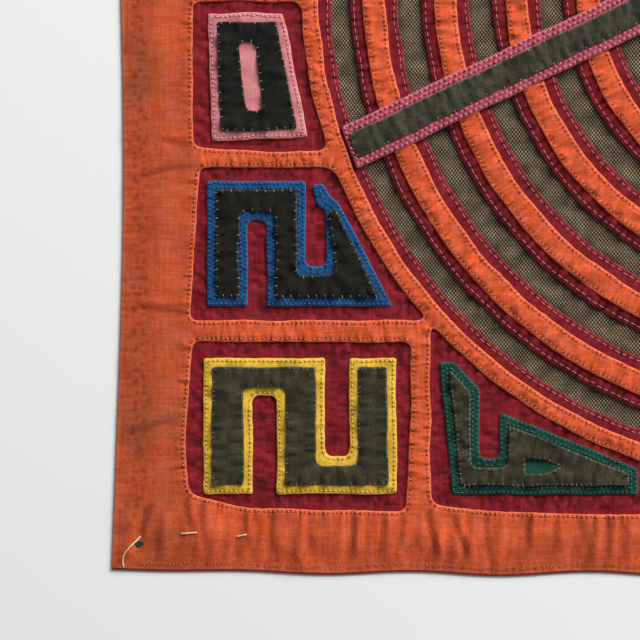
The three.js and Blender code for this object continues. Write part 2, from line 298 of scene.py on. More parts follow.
@dataclass(frozen=True)
class SewingThread(Finish):
    """Spun cotton sewing thread, matt, with a twist too fine to show as more than a mottle."""

    slot: Slot
    colour: str
    shade: str

    def shader(self, tree: bpy.types.NodeTree) -> bpy.types.NodeSocket:
        """Adds the shader's nodes and returns its output."""
        place = add_node(tree, "TexCoord", out="Object")
        # The twist repeats about every 0.5 mm: drawn as blotches of 1.5 mm so that it shows.
        twist = add_node(
            tree, "TexNoise", {"Scale": 1 / (1.5 * MM), "Detail": 2.0, "Vector": place}, "Fac"
        )
        colour = add_node(tree, "Mix", {
            "data_type": "RGBA", 0: twist,
            MIX_A: to_linear(self.shade), MIX_B: to_linear(self.colour),
        }, MIX_OUT)
        return add_node(tree, "BsdfPrincipled", {
            "Base Color": colour, "Roughness": 0.75, "Specular IOR Level": 0.25,
            "Sheen Weight": 0.1,
        })


@dataclass(frozen=True)
class BackgroundPaper(Finish):
    """Matt background paper: a flat pale grey with no gloss."""

    colour: str

    def shader(self, tree: bpy.types.NodeTree) -> bpy.types.NodeSocket:
        """Adds the shader's nodes and returns its output."""
        return add_node(tree, "BsdfPrincipled", {
            "Base Color": to_linear(self.colour), "Roughness": 1.0, "Specular IOR Level": 0.0,
        })


OLIVE_CLOTH = PlainWeave(
    "coarse_olive_cotton", Slot.OLIVE, "a38e71", "1b1a14", "5e5540", "16150f", "5a5340", "4a4638",
    pitch_mm=(0.55, 0.7), contrast=1.45, bias=0.25, mottle=0.28, bump=0.9, dashes=True,
)
RED_CLOTH = PlainWeave(
    "crimson_cotton", Slot.RED, "8a1b25", "74141f", "a8434c", "34080f", "7a2430", "5e1a24",
    mottle=0.18,
)
ORANGE_CLOTH = PlainWeave(
    "orange_cotton", Slot.ORANGE, "de6138", "cb502e", "f2905d", "6c240f", "be4f2c", "945030",
    mottle=0.14,
)
ROSE_CLOTH = PlainWeave(
    "rose_cotton", Slot.PINK, "c25c6a", "ae4c5c", "dc8a94", "6e2032", "b86a72", "a05a62"
)
PINK_CLOTH = PlainWeave(
    "pale_pink_cotton", Slot.PINK, "d4878a", "c4747a", "eaaeae", "8c3c44", "c97a80", "b0666c"
)
BLUE_CLOTH = PlainWeave(
    "blue_cotton", Slot.BLUE, "1c568c", "144574", "3474aa", "071f38", "2a609a", "1c4a78"
)
YELLOW_CLOTH = PlainWeave(
    "yellow_cotton", Slot.YELLOW, "e8bf42", "d8aa34", "eccb60", "6e4e10", "d0b050", "b0902c"
)
GREEN_CLOTH = PlainWeave(
    "green_cotton", Slot.GREEN, "1a4c40", "123c32", "2f7262", "061d16", "205a48", "184a3a"
)
MOSS_CLOTH = PlainWeave(
    "moss_cotton", Slot.MOSS, "4a4531", "2d2b1f", "5c5844", "100f0a", "504c3c", "44402e",
    pitch_mm=(0.62, 0.62), mottle=0.3, bump=0.7,
)
FADED_MOSS_CLOTH = PlainWeave(
    "faded_moss_cotton", Slot.MOSS, "4b4a39", "2f2f24", "6c624c", "16130d", "504c3c", "44402e",
    pitch_mm=(0.62, 0.62), mottle=0.34, bump=0.7,
)
BLACK_CLOTH = PlainWeave(
    "black_cotton", Slot.BLACK, "1f1e19", "121210", "403d36", "060605", "2a2926", "26241e",
    pitch_mm=(0.62, 0.62), mottle=0.34, bump=0.7,
)
CLOTHS = {
    "pink": PINK_CLOTH,
    "blue": BLUE_CLOTH,
    "yellow": YELLOW_CLOTH,
    "green": GREEN_CLOTH,
    "moss": MOSS_CLOTH,
    "black": BLACK_CLOTH,
}
PALE_THREAD = SewingThread("pale_pink_thread", Slot.RED, "dc9a9e", "c0747c")
ORANGE_THREAD = SewingThread("orange_thread", Slot.ORANGE, "f29a66", "d06a3c")
TAN_THREAD = SewingThread("tan_thread", Slot.BLACK, "c8be9c", "9c9172")
MOSS_THREAD = SewingThread("moss_thread", Slot.MOSS, "aea483", "82785c")
CREAM_THREAD = SewingThread("cream_thread", Slot.ORANGE, "efdcb4", "d8bf90")
PINK_THREAD = SewingThread("rose_thread", Slot.PINK, "e08e98", "b8606c")
FRAYED_THREAD = SewingThread("frayed_orange_thread", Slot.ORANGE, "e88a54", "b85e34")
RIM_THREADS = {
    "pink": SewingThread("pale_rose_thread", Slot.PINK, "ecc0b6", "c8908c"),
    "blue": SewingThread("blue_thread", Slot.BLUE, "2c6ca6", "1c4c80"),
    "yellow": SewingThread("yellow_thread", Slot.YELLOW, "f6da6c", "dcb840"),
    "green": SewingThread("green_thread", Slot.GREEN, "2c7a66", "185445"),
}
PAPER = BackgroundPaper("matt_paper", "e7e7e7")


@dataclass(frozen=True)
class Ripple:
    """Uneven waves over a cloth: a sum of plain waves in seeded directions."""

    seed: int
    short: float
    long: float
    rise: float
    count: int = 10

    def at(self, xy: np.ndarray) -> np.ndarray:
        """Returns the height at each place, whose spread is the rise."""
        rng = np.random.default_rng(self.seed)
        angle = rng.uniform(0, 2 * math.pi, self.count)
        number = 2 * math.pi / rng.uniform(self.short, self.long, self.count)
        phase = rng.uniform(0, 2 * math.pi, self.count)
        waves = np.sin(xy @ (number * np.array([np.cos(angle), np.sin(angle)])) + phase)
        return self.rise * waves.sum(axis=1) * math.sqrt(2 / self.count)


def bell(value: np.ndarray, width: float) -> np.ndarray:
    """Returns 1 at a value of 0 and a soft fall to both sides, to 0.37 at the width."""
    return np.exp(-((value / width) ** 2))


def creased(wave: np.ndarray) -> np.ndarray:
    """Turns a plain wave into swells with narrow creases between them."""
    return 0.5 * wave + 0.6 - 1.5 * bell(wave, 0.7)


def smooth_step(value: np.ndarray, low: float, high: float) -> np.ndarray:
    """Returns 0 below low, 1 above high and a smooth rise between."""
    t = np.clip((value - low) / (high - low), 0, 1)
    return t * t * (3 - 2 * t)


def from_middle(xy: np.ndarray) -> np.ndarray:
    """Returns how far each place is from the panel's middle."""
    return np.hypot(xy[:, 0], xy[:, 1])


def run_along(line: np.ndarray) -> np.ndarray:
    """Returns how far along a line each of its points is."""
    return np.concatenate([[0], np.cumsum(np.hypot(*np.diff(line, axis=0).T))])


def no_relief(xy: np.ndarray) -> np.ndarray:
    """A cloth that lies level."""
    return np.zeros(len(xy))


def rounded(points: Corners, corner: float) -> np.ndarray:
    """Rounds the corners of a closed outline.

    Args:
        points: Each x, y and, where it differs, the corner's own radius.
        corner: The radius of the other corners.

    Returns:
        The outline's points, closely spaced round the corners.
    """
    count = len(points)
    outline = []
    for i, (x, y, *own) in enumerate(points):
        here = np.array([x, y])
        radius = own[0] if own else corner
        ends = []
        for other in (points[i - 1], points[(i + 1) % count]):
            away = np.array(other[:2]) - here
            length = float(np.hypot(*away))
            ends.append(here + away * min(radius, 0.49 * length) / length)
        for t in np.linspace(0, 1, 6) if radius > 0 else (0.0,):
            outline.append((1 - t) ** 2 * ends[0] + 2 * t * (1 - t) * here + t * t * ends[1])
    return np.array(outline)


def inset_outline(points: Corners, distance: float) -> list[list[float]]:
    """Moves a closed anticlockwise outline inwards.

    Args:
        points: Each x, y and, where it has one, a corner radius, which is kept.
        distance: How far every side moves.

    Returns:
        The moved corners.
    """
    corners = np.array([p[:2] for p in points], float)
    along = np.roll(corners, -1, axis=0) - corners
    along /= np.hypot(along[:, 0], along[:, 1])[:, None]
    start = corners + distance * np.stack([-along[:, 1], along[:, 0]], axis=1)
    moved = []
    for i, point in enumerate(points):
        a, b = along[i - 1], along[i]
        gap = start[i] - start[i - 1]
        travel = (gap[0] * b[1] - gap[1] * b[0]) / (a[0] * b[1] - a[1] * b[0])
        moved.append([*(start[i - 1] + a * travel), *point[2:]])
    return moved


def circle(radius: float) -> np.ndarray:
    """Returns a circle about the panel's middle as closely spaced points."""
    angle = np.linspace(0, 2 * math.pi, max(40, int(radius * 4)), endpoint=False)
    return radius * np.stack([np.cos(angle), np.sin(angle)], axis=1)


@dataclass(frozen=True)
class Seam:
    """How a turned fold is sewn down. Lengths are in millimetres."""

    stitch: Stitch
    thread: SewingThread | None = None
    pitch: float = 1.7  # from one stitch to the next
    inset: float = 1.1  # from the fold to the needle's line
    length: float = 1.0  # of thread that shows in one stitch
    radius: float = 0.2  # of the thread
    dent: float = 0.3  # how deep the needle's line draws in
    roll: float = 0.7  # radius of the fold
    gather: float = 0.1  # height of the puckers that the thread draws up
    gather_pitch: float = 4.0
    reach: float = 3.0  # how far the puckers run in from the fold
    waver: float = 0.2  # how far the fold strays from its line
    second: float = 0.0  # from the fold to a second needle's line, if there is one
    mark: float = 0.8  # how dark the painted shade in the needle's holes is
    spread: float = 0.3  # how far a hole's shade reaches
    tuck: float = 0.0  # depth of the small tuck that each stitch draws across the cloth
    apron: float = 2.7  # how far in from the fold the mesh follows the stitches
    shade: float = 0.35  # how dark the painted shade in the creases between the puckers is
    every: int = 1  # thread shows on one stitch in this many
    slant: float = 0.0  # how far a stitch leans
    kept: float = 1.0  # share of those stitches that haven't sunk out of sight


@dataclass
class Edge:
    """One closed fold of a cloth, as two points for every stitch, with the cloth on its left."""

    outline: np.ndarray
    seam: Seam
    seed: int
    hole: bool = False
    points: np.ndarray = field(init=False)
    tangents: np.ndarray = field(init=False)
    normals: np.ndarray = field(init=False)
    length: float = field(init=False)

    def __post_init__(self) -> None:
        """Spaces the points along the outline and lets the fold waver."""
        loop = self.outline
        x, y = loop[:, 0], loop[:, 1]
        turn = np.sum(x * np.roll(y, -1) - np.roll(x, -1) * y)
        if (turn > 0) == self.hole:
            loop = loop[::-1]
        closed = np.vstack([loop, loop[:1]])
        run = run_along(closed)
        self.length = float(run[-1])
        count = 2 * max(4, round(self.length / self.seam.pitch))
        at = np.linspace(0, self.length, count, endpoint=False)
        self.points = np.stack([np.interp(at, run, closed[:, i]) for i in (0, 1)], axis=1)
        self._face()
        every = np.arange(count)
        stray = 0.6 * self.along(every, 22.0, Salt.STRAY)
        stray += 0.22 * self.along(every, 4.5, Salt.QUICK_STRAY)
        self.points = self.points + self.normals * (stray * self.seam.waver)[:, None]
        self._face()

    def _face(self) -> None:
        """Works out the tangents and the normals that point into the cloth."""
        ahead = np.roll(self.points, -1, axis=0) - np.roll(self.points, 1, axis=0)
        self.tangents = ahead / np.hypot(ahead[:, 0], ahead[:, 1])[:, None]
        self.normals = np.stack([-self.tangents[:, 1], self.tangents[:, 0]], axis=1)

    def draws(self, salt: Salt) -> np.random.Generator:
        """Returns this fold's own random draws for that use."""
        return np.random.default_rng([self.seed, int(salt)])

    def holes(self) -> np.ndarray:
        """Returns how dark the painted shade in each needle hole is, as no two are pulled alike."""
        return self.draws(Salt.HOLES).uniform(0.45, 1.0, len(self.points))

    def along(self, index: np.ndarray, pitch: float, salt: Salt) -> np.ndarray:
        """Returns uneven waves of about that pitch along the fold, with a spread of 1."""
        rng = self.draws(salt)
        turns = np.maximum(2, np.round(self.length / (pitch * rng.uniform(0.7, 1.6, 6))))
        phase = rng.uniform(0, 2 * math.pi, 6)
        count = len(self.points)
        return np.sin(2 * math.pi * np.outer(index / count, turns) + phase).sum(axis=1) / 3**0.5


def crossings_inside(loops: Sequence[np.ndarray], xy: np.ndarray) -> np.ndarray:
    """Tells which places lie inside closed loops, by counting the sides to their left.

    Args:
        loops: The closed outlines. A loop inside another is a hole.
        xy: The places.

    Returns:
        One truth value for each place.
    """
    start = np.vstack(loops)
    end = np.vstack([np.roll(loop, -1, axis=0) for loop in loops])
    inside = np.zeros(len(xy), bool)
    levels, which = np.unique(xy[:, 1], return_inverse=True)
    order = np.argsort(which, kind="stable")
    bounds = np.searchsorted(which[order], np.arange(len(levels) + 1))
    for i, y in enumerate(levels):
        cut = (start[:, 1] > y) != (end[:, 1] > y)
        a, b = start[cut], end[cut]
        cross = np.sort(a[:, 0] + (y - a[:, 1]) / (b[:, 1] - a[:, 1]) * (b[:, 0] - a[:, 0]))
        rows = order[bounds[i] : bounds[i + 1]]
        inside[rows] = np.searchsorted(cross, xy[rows, 0]) % 2 == 1
    return inside


def triangulate(loops: Sequence[np.ndarray], inner: np.ndarray) -> np.ndarray:
    """Fills closed loops with triangles.

    Args:
        loops: The closed outlines. A loop inside another is a hole.
        inner: Places inside that become corners too.

    Returns:
        Triangles as numbers into the loops' points, in order, followed by the inner ones.
    """
    rim = np.vstack(loops)
    places = np.vstack([rim, inner]) if len(inner) else rim
    sides, first = [], 0
    for loop in loops:
        sides += [(first + i, first + (i + 1) % len(loop)) for i in range(len(loop))]
        first += len(loop)
    made = delaunay_2d_cdt([Vector(p) for p in places.tolist()], sides, [], 0, 1e-6)
    source = np.array([ids[0] if ids else -1 for ids in made[3]])
    faces = source[np.array(made[2])]
    faces = faces[(faces >= 0).all(axis=1)]
    edge_only = (faces < len(rim)).all(axis=1)
    middle = places[faces[edge_only]].mean(axis=1)
    keep = np.ones(len(faces), bool)
    keep[edge_only] = crossings_inside(loops, middle)
    return faces[keep]


def sorted_places(xy: np.ndarray) -> KDTree:
    """Returns a tree that finds the nearest of the places."""
    tree = KDTree(len(xy))
    for i, (x, y) in enumerate(xy.tolist()):
        tree.insert((x, y, 0), i)
    tree.balance()
    return tree


def nearest(tree: KDTree, xy: np.ndarray) -> tuple[np.ndarray, np.ndarray]:
    """Returns the number of the tree's nearest place and the distance to it, for each place."""
    hits = [tree.find((x, y, 0)) for x, y in xy.tolist()]
    return np.array([hit[1] for hit in hits], int), np.array([hit[2] for hit in hits], float)


def write_mesh(
    name: str,
    verts: np.ndarray,
    faces: Sequence[Sequence[int]],
    attributes: dict[str, np.ndarray] | None = None,
) -> bpy.types.Object:
    """Writes a smooth-shaded mesh object.

    Args:
        name: The object's name.
        verts: Corners in millimetres.
        faces: Corner numbers of each face.
        attributes: One number for each corner, by attribute name.

    Returns:
        The object, linked to the scene.
    """
    mesh = bpy.data.meshes.new(name)
    mesh.from_pydata((verts * MM).tolist(), [], faces)
    for key, values in (attributes or {}).items():
        mesh.attributes.new(key, "FLOAT", "POINT").data.foreach_set("value", values.astype("f"))
    mesh.polygons.foreach_set("use_smooth", np.ones(len(mesh.polygons), bool))
    mesh.update()
    made = bpy.data.objects.new(name, mesh)
    bpy.context.scene.collection.objects.link(made)
    return made


def dress(made: bpy.types.Object, finish: PlainWeave | SewingThread) -> bpy.types.Object:
    """Gives a piece its finish and its place on the panel's one body.

    Args:
        made: The piece.
        finish: Its cloth or thread.

    Returns:
        The same piece.
    """
    made.data.materials.append(finish.material())
    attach(made, "root")
    log.info("%s: %d faces", made.name, len(made.data.polygons))
    return made


@dataclass
class ThreadWork:
    """All the stitches of one thread, kept as arrays and built as one mesh."""

    name: str
    finish: SewingThread
    parts: list[tuple[np.ndarray, np.ndarray, float, float]] = field(default_factory=list)

    def add(self, start: np.ndarray, end: np.ndarray, radius: float, lift: float) -> None:
        """Adds stitches.

        Args:
            start: Where each comes out of the cloth.
            end: Where each goes in again.
            radius: The thread's radius.
            lift: How far its middle stands above the line between the two.
        """
        self.parts.append((start, end, radius, lift))

    def build(self) -> bpy.types.Object:
        """Builds each stitch as a three-sided bead with pointed ends and returns the piece."""
        blocks = []
        for start, end, radius, lift in self.parts:
            run = end - start
            side = np.stack([-run[:, 1], run[:, 0], np.zeros(len(run))], axis=1)
            side *= radius / np.maximum(np.linalg.norm(side, axis=1), 1e-6)[:, None]
            up = np.array([0, 0, radius])
            rows = [start]
            for t in (0.22, 0.78):
                spine = start + t * run + np.array([0, 0, lift])
                rows += [spine + side - 0.4 * up, spine + up, spine - side - 0.4 * up]
            rows.append(end)
            blocks.append(np.stack(rows, axis=1))
        verts = np.concatenate(blocks)
        one = [(0, 2, 1), (0, 3, 2), (0, 1, 3), (7, 4, 5), (7, 5, 6), (7, 6, 4)]
        for k in range(3):
            a, b = 1 + k, 1 + (k + 1) % 3
            one += [(a, b, b + 3), (a, b + 3, a + 3)]
        first = np.arange(len(verts)) * verts.shape[1]
        faces = (first[:, None, None] + np.array(one)).reshape(-1, 3)
        return dress(write_mesh(self.name, verts.reshape(-1, 3), faces.tolist()), self.finish)


class SewingBox:
    """The threads in use, by finish."""

    def __init__(self) -> None:
        """Starts with no thread in use."""
        self.work: dict[str, ThreadWork] = {}

    def thread(self, finish: SewingThread) -> ThreadWork:
        """Returns the stitches of that thread, to add to."""
        return self.work.setdefault(finish.name, ThreadWork(f"{finish.name}_work", finish))

    def build(self) -> list[bpy.types.Object]:
        """Builds every thread's stitches and returns the pieces."""
        return [work.build() for work in self.work.values()]


@dataclass
class Spots:
    """Places on a cloth, each with its nearest fold.

    Args:
        xy: The places.
        depth: Distance of each from the fold.
        index: The fold's point that is nearest.
        owner: The number of the fold in the cloth's edges.
    """

    xy: np.ndarray
    depth: np.ndarray
    index: np.ndarray
    owner: np.ndarray

    def pick(self, which: np.ndarray) -> "Spots":
        """Returns the chosen places, by truth value or by number."""
        return Spots(self.xy[which], self.depth[which], self.index[which], self.owner[which])


@dataclass
class SewnCloth:
    """A cloth with turned folds that stands for one node of the solids.

    Args:
        node: The node it replaces.
        finish: Its cloth.
        edges: Its outer fold and the folds round its holes.
        top: Height of its face.
        foot: Height that its folds come down to, by place.
        spacing: Distance between mesh points away from the folds.
        relief: Height added to its face, by place.
        fade: How faded it is, from 0 to 1, by place.
        shade: How much painted shade darkens it, in its own creases and hollows, from 0 to 1, by
            place.
        busy: 1 where the spacing holds and 0 where it is wider. It holds everywhere if None.
        pricks: Places of old needle holes.
    """

    node: str
    finish: PlainWeave
    edges: list[Edge]
    top: float
    foot: Heights
    spacing: float
    relief: Heights = no_relief
    fade: Heights = no_relief
    shade: Heights = no_relief
    busy: Heights | None = None
    pricks: np.ndarray | None = None
    needle: float = 0.38  # half the width of the dent along a needle's line
    puff: tuple[float, float] = (1.3, 0.9)  # place behind that line where the cloth swells, and width
    fold_highlight: tuple[float, float] = (0.7, 0.45)  # how pale the painted highlight on a fold is, and how far in it reaches
    row_step: float = 0.75  # between the mesh lines beside a fold
    wider: float = 4.0  # how many times the spacing is wider where it isn't busy
    crowding: float = 0.88  # share of its depth that a line keeps from the fold's other stretches
    tuck_in: float = 0.12  # how far a fold's foot lies in from its edge
    prick: tuple[float, float] = (0.5, 0.1)  # how dark the painted shade in an old needle hole is, and how deep the hole is
    tree: KDTree = field(init=False)

    def __post_init__(self) -> None:
        """Sorts the points of all the folds by place."""
        self.tree = sorted_places(np.vstack([edge.points for edge in self.edges]))

    def _clear(self, spots: Spots) -> np.ndarray:
        """Tells which places are no nearer to another stretch of fold than they should be."""
        return nearest(self.tree, spots.xy)[1] > self.crowding * spots.depth

    def height(self, spots: Spots) -> np.ndarray:
        """Returns the height of the cloth's face at each place."""
        z = self.top + self.relief(spots.xy)
        foot = self.foot(spots.xy)
        for number, edge in enumerate(self.edges):
            seam, mine = edge.seam, spots.owner == number
            d, s = spots.depth[mine], spots.index[mine]
            bend = np.clip(1 - d / seam.roll, 0, 1)
            fall = 1 - np.sqrt(1 - bend**2)
            # A needle's line is deep at each hole and shallow half way to the next.
            swing = 0.45 * np.cos(math.pi * s)
            needle = bell(d - seam.inset, self.needle) * (0.55 + swing)
            if seam.second:
                needle += bell(d - seam.second, self.needle) * (0.55 - swing)
            puff = bell(d - seam.inset - self.puff[0], self.puff[1]) * 0.5 * seam.dent
            near = bell(d, seam.reach)
            pucker = creased(edge.along(s, seam.gather_pitch, Salt.GATHER)) * near
            tuck = seam.tuck * near * (s % 2 == 0)
            body = z[mine] - seam.dent * needle + puff + seam.gather * pucker - tuck
            z[mine] = body - fall * 0.8 * (body - foot[mine])
        return z

    def _painted_shading(self, spots: Spots) -> np.ndarray:
        """Returns the face's painted shading: a painted highlight above 0 on the folds, painted shade
        below 0 in needle holes, tucks and creases.
        """
        tone = self.fold_highlight[0] * bell(spots.depth, self.fold_highlight[1]) - self.shade(spots.xy)
        for number, edge in enumerate(self.edges):
            seam, mine = edge.seam, spots.owner == number
            d, s = spots.depth[mine], spots.index[mine]
            near = bell(d, seam.reach)
            line = bell(d - seam.inset, seam.spread) * (s % 2 == 0)
            if seam.second:
                line += bell(d - seam.second, seam.spread) * (s % 2 == 1)
            # Each tuck gets painted shade, and so do the creases between the puckers.
            line += 3 * seam.tuck * near * (s % 2 == 0)
            crease = bell(edge.along(s, seam.gather_pitch, Salt.GATHER), 0.65) * near
            tone[mine] -= seam.mark * line * edge.holes()[s] + seam.shade * crease
        return tone

    def _beside(self, number: int, depth: float) -> Spots:
        """Returns a place for each point of one fold, at that depth in from it."""
        edge = self.edges[number]
        count = len(edge.points)
        places = edge.points + edge.normals * depth
        return Spots(places, np.full(count, depth), np.arange(count), np.full(count, number))

    def _rows(self, number: int) -> list[Spots]:
        """Returns the mesh points on lines beside one fold, where those keep clear of the others."""
        seam = self.edges[number].seam
        close = (0.3 * seam.roll, 0.75 * seam.roll, seam.inset)
        further = np.arange(seam.inset + self.row_step, seam.apron + 0.01, self.row_step)
        lines = [self._beside(number, depth) for depth in (*close, *further)]
        return [line.pick(self._clear(line)) for line in lines]

    def _inner(self) -> Spots:
        """Returns the mesh points away from the folds, on a grid of even triangles."""
        loops = [edge.points for edge in self.edges]
        low, high = np.vstack(loops).min(axis=0), np.vstack(loops).max(axis=0)
        found = []
        for coarse in (False, True) if self.busy else (False,):
            pace = self.wider * self.spacing if coarse else self.spacing
            columns = np.arange(low[0], high[0], pace)
            levels = np.arange(low[1], high[1], pace * 0.866)
            shifts = [(y, pace / 2 * (j % 2)) for j, y in enumerate(levels)]
            grid = np.array([(x + shift, y) for y, shift in shifts for x in columns])
            if self.busy:
                grid = grid[(self.busy(grid) > 0.5) != coarse]
            found.append(grid[crossings_inside(loops, grid)])
        grid = np.vstack(found)
        number, depth = nearest(self.tree, grid)
        first = np.cumsum([0] + [len(loop) for loop in loops])
        owner = np.searchsorted(first, number, side="right") - 1
        margin = np.array([edge.seam.apron for edge in self.edges])[owner] + 0.6 * self.spacing
        return Spots(grid, depth, number - first[owner], owner).pick(depth > margin)

    def build(self) -> bpy.types.Object:
        """Builds the cloth's mesh, dresses it and returns it."""
        loops = [edge.points for edge in self.edges]
        numbers = range(len(loops))
        parts = [self._beside(number, 0.0) for number in numbers]
        for number in numbers:
            parts += self._rows(number)
        parts.append(self._inner())
        names = ("xy", "depth", "index", "owner")
        spots = Spots(*(np.concatenate([getattr(part, name) for part in parts]) for name in names))
        ends = np.cumsum([len(loop) for loop in loops])
        rim, count = int(ends[-1]), len(spots.xy)
        faces = triangulate(loops, spots.xy[rim:])
        z = self.height(spots)
        tone = self._painted_shading(spots)
        tuck = np.vstack([edge.points + self.tuck_in * edge.normals for edge in self.edges])
        under = np.column_stack([tuck, np.minimum(self.foot(tuck), z[:rim] - TOUCH)])
        walls, first = [], 0
        for loop in loops:
            a = first + np.arange(len(loop))
            b = first + np.roll(np.arange(len(loop)), -1)
            walls += [np.stack([a, count + a, count + b], 1), np.stack([a, count + b, b], 1)]
            first += len(loop)
        base = triangulate(np.split(tuck, ends[:-1]), np.zeros((0, 2)))[:, ::-1] + count
        # Old needle holes get painted shade and a small dent.
        if self.pricks is not None:
            hit = nearest(sorted_places(spots.xy), self.pricks)[0]
            tone[hit] -= self.prick[0]
            z[hit] -= self.prick[1]
        blank = np.zeros(rim)
        made = write_mesh(
            f"{self.node}_cloth",
            np.vstack([np.column_stack([spots.xy, z]), under]),
            np.vstack([faces, *walls, base]).tolist(),
            {
                "tone": np.concatenate([tone, blank]),
                "fade": np.concatenate([self.fade(spots.xy), blank]),
            },
        )
        dress(made, self.finish)
        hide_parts(self.node)
        return made

    def sew(self, box: SewingBox) -> None:
        """Lays the stitches of every fold.

        Args:
            box: The threads that they are added to.
        """
        for number, edge in enumerate(self.edges):
            seam = edge.seam
            if seam.stitch is Stitch.HIDDEN or seam.thread is None:
                continue
            rng = edge.draws(Salt.SEWING)
            running = seam.stitch is Stitch.RUNNING
            for line, deep in enumerate((seam.inset, seam.second)[: 2 if seam.second else 1]):
                at = np.arange((line + running) % 2, len(edge.points), 2 * seam.every)
                at = at[rng.random(len(at)) < seam.kept]
                if running:
                    at = at[self._clear(self._beside(number, deep).pick(at))]
                points, normals, tangents = edge.points[at], edge.normals[at], edge.tangents[at]
                owner = np.full(len(at), number)
                jitter = rng.normal(0, 0.12, (len(at), 2))
                if running:
                    middle = points + normals * (deep + 0.5 * jitter[:, :1])
                    z = self.height(Spots(middle, np.full(len(at), deep), at, owner))
                    z = z + 0.4 * seam.radius - 0.5 * seam.radius
                    half = 0.5 * seam.length * (1 + jitter[:, 1:]) * tangents + seam.slant * normals
                    start = np.column_stack([middle - half, z])
                    end = np.column_stack([middle + half, z])
                    lift = 0.5 * seam.radius
                else:
                    inward = 0.75 * seam.length
                    inner = points + normals * (inward + 0.4 * jitter[:, :1])
                    outer = points - normals * 0.25 * seam.length
                    outer = outer + tangents * (seam.slant + jitter[:, 1:])
                    z = self.height(Spots(inner, np.full(len(at), inward), at, owner))
                    start = np.column_stack([inner, z + 0.1])
                    end = np.column_stack([outer, self.foot(outer) + 0.15])
                    lift = 0.35
                box.thread(seam.thread).add(start, end, seam.radius, lift)

    def make(self, box: SewingBox) -> bpy.types.Object:
        """Sews the cloth down, builds it and returns it."""
        self.sew(box)
        return self.build()


def level_foot(layer: int) -> Heights:
    """Returns the height that the folds of a cloth in that layer come down to, by place."""
    height = (layer - 1) * LAYER + CLOTH + TOUCH if layer else 0.0
    return lambda xy: np.full(len(xy), height)


def face_height(layer: int) -> float:
    """Returns the height of a cloth's face in that layer."""
    return layer * LAYER + CLOTH


@dataclass(frozen=True)
class PanelOutline:
    """The panel's edge, as uneven as the solids make it."""

    corner_x: float = 226.0
    corner_y: float = 190.5
    side_draw_in: float = 3.0
    side_waver: float = 0.9
    side_waves: float = 0.75
    hem_bulge: float = 1.5
    hem_waver: float = 0.7
    hem_waves: float = 3.85
    hem_phase: float = -0.4
    under: float = 0.6  # how far the lower cloths' hems reach past the top cloth's

    def hem(self, x: np.ndarray) -> np.ndarray:
        """Returns the bottom hem's y at each x."""
        u = x / self.corner_x
        waver = self.hem_waver * np.sin(2 * math.pi * self.hem_waves * u + self.hem_phase)
        return -(self.corner_y + (1 - u**4) * (self.hem_bulge + waver))

    def side(self, y: np.ndarray) -> np.ndarray:
        """Returns the left edge's x at each y."""
        v = y / self.corner_y
        waver = self.side_waver * np.sin(2 * math.pi * self.side_waves * v)
        return -(self.corner_x - (1 - v**4) * (self.side_draw_in - waver))

    def from_hem(self, xy: np.ndarray) -> np.ndarray:
        """Returns how far in from the nearer hem each place is."""
        turn = np.where(xy[:, 1] < 0, 1, -1)
        return -self.hem(turn * xy[:, 0]) - np.abs(xy[:, 1])

    def press(self, xy: np.ndarray) -> np.ndarray:
        """Returns 1 at the panel's edge, where the cloths are pressed flat, and 0 well inside."""
        turn = np.where(xy[:, 0] < 0, 1, -1)
        from_side = -self.side(turn * xy[:, 1]) - np.abs(xy[:, 0])
        return 1 - smooth_step(np.minimum(self.from_hem(xy), from_side), 0, PRESS_REACH)

    def loop(self, past: float) -> np.ndarray:
        """Returns the edge as a closed outline.

        Args:
            past: How far the hems reach past the top cloth's.

        Returns:
            Closely spaced points, anticlockwise from the lower left corner.
        """
        x = np.linspace(-self.corner_x, self.corner_x, 300)
        y = np.linspace(-self.corner_y, self.corner_y, 240)
        hem = np.column_stack([x, self.hem(x) - past])[:-1]
        left = np.column_stack([self.side(y), y])
        return np.vstack([hem, -left[::-1][1:-1], -hem, left[::-1][1:-1]])


@dataclass(frozen=True)
class Field:
    """The round field's sizes: radii, but for the first four."""

    pitch: float = 23.35
    count: int = 6
    orange: float = 7.5  # width of an orange ring
    margin: float = 4.1  # width of red that shows on each side of it
    outer_in: float = 158.3
    outer_out: float = 164.0
    ground: float = 154.4
    shown: float = 160.0  # the backing shows within it
    rise: tuple[float, float] = (157.0, 161.0)  # from the field's level to the rest of the panel's

    def inside(self, xy: np.ndarray) -> np.ndarray:
        """Returns 1 in the round field and 0 outside it, with a smooth fall between."""
        return 1 - smooth_step(from_middle(xy), *self.rise)


OUTLINE = PanelOutline()
FIELD = Field()
PLAIN_HEM = Seam(
    Stitch.HIDDEN, pitch=2.4, inset=1.4, dent=0.05, roll=0.9, gather=0.0, waver=0.0, mark=0.0,
    shade=0.0,
)
RED_FOLD = Seam(
    Stitch.RUNNING, PALE_THREAD, pitch=2.4, inset=1.3, length=2.1, radius=0.125,
    dent=0.26, roll=0.7, gather=0.3, gather_pitch=3.2, reach=4.0, waver=0.2, shade=0.45, mark=0.5,
    tuck=0.42, apron=3.9,
)
ORANGE_FOLD = Seam(
    Stitch.RUNNING, ORANGE_THREAD, pitch=1.5, inset=1.0, length=0.9, radius=0.16,
    dent=0.36, roll=0.6, gather=0.44, gather_pitch=3.4, reach=4.5, waver=0.18, mark=0.9, tuck=0.08,
)


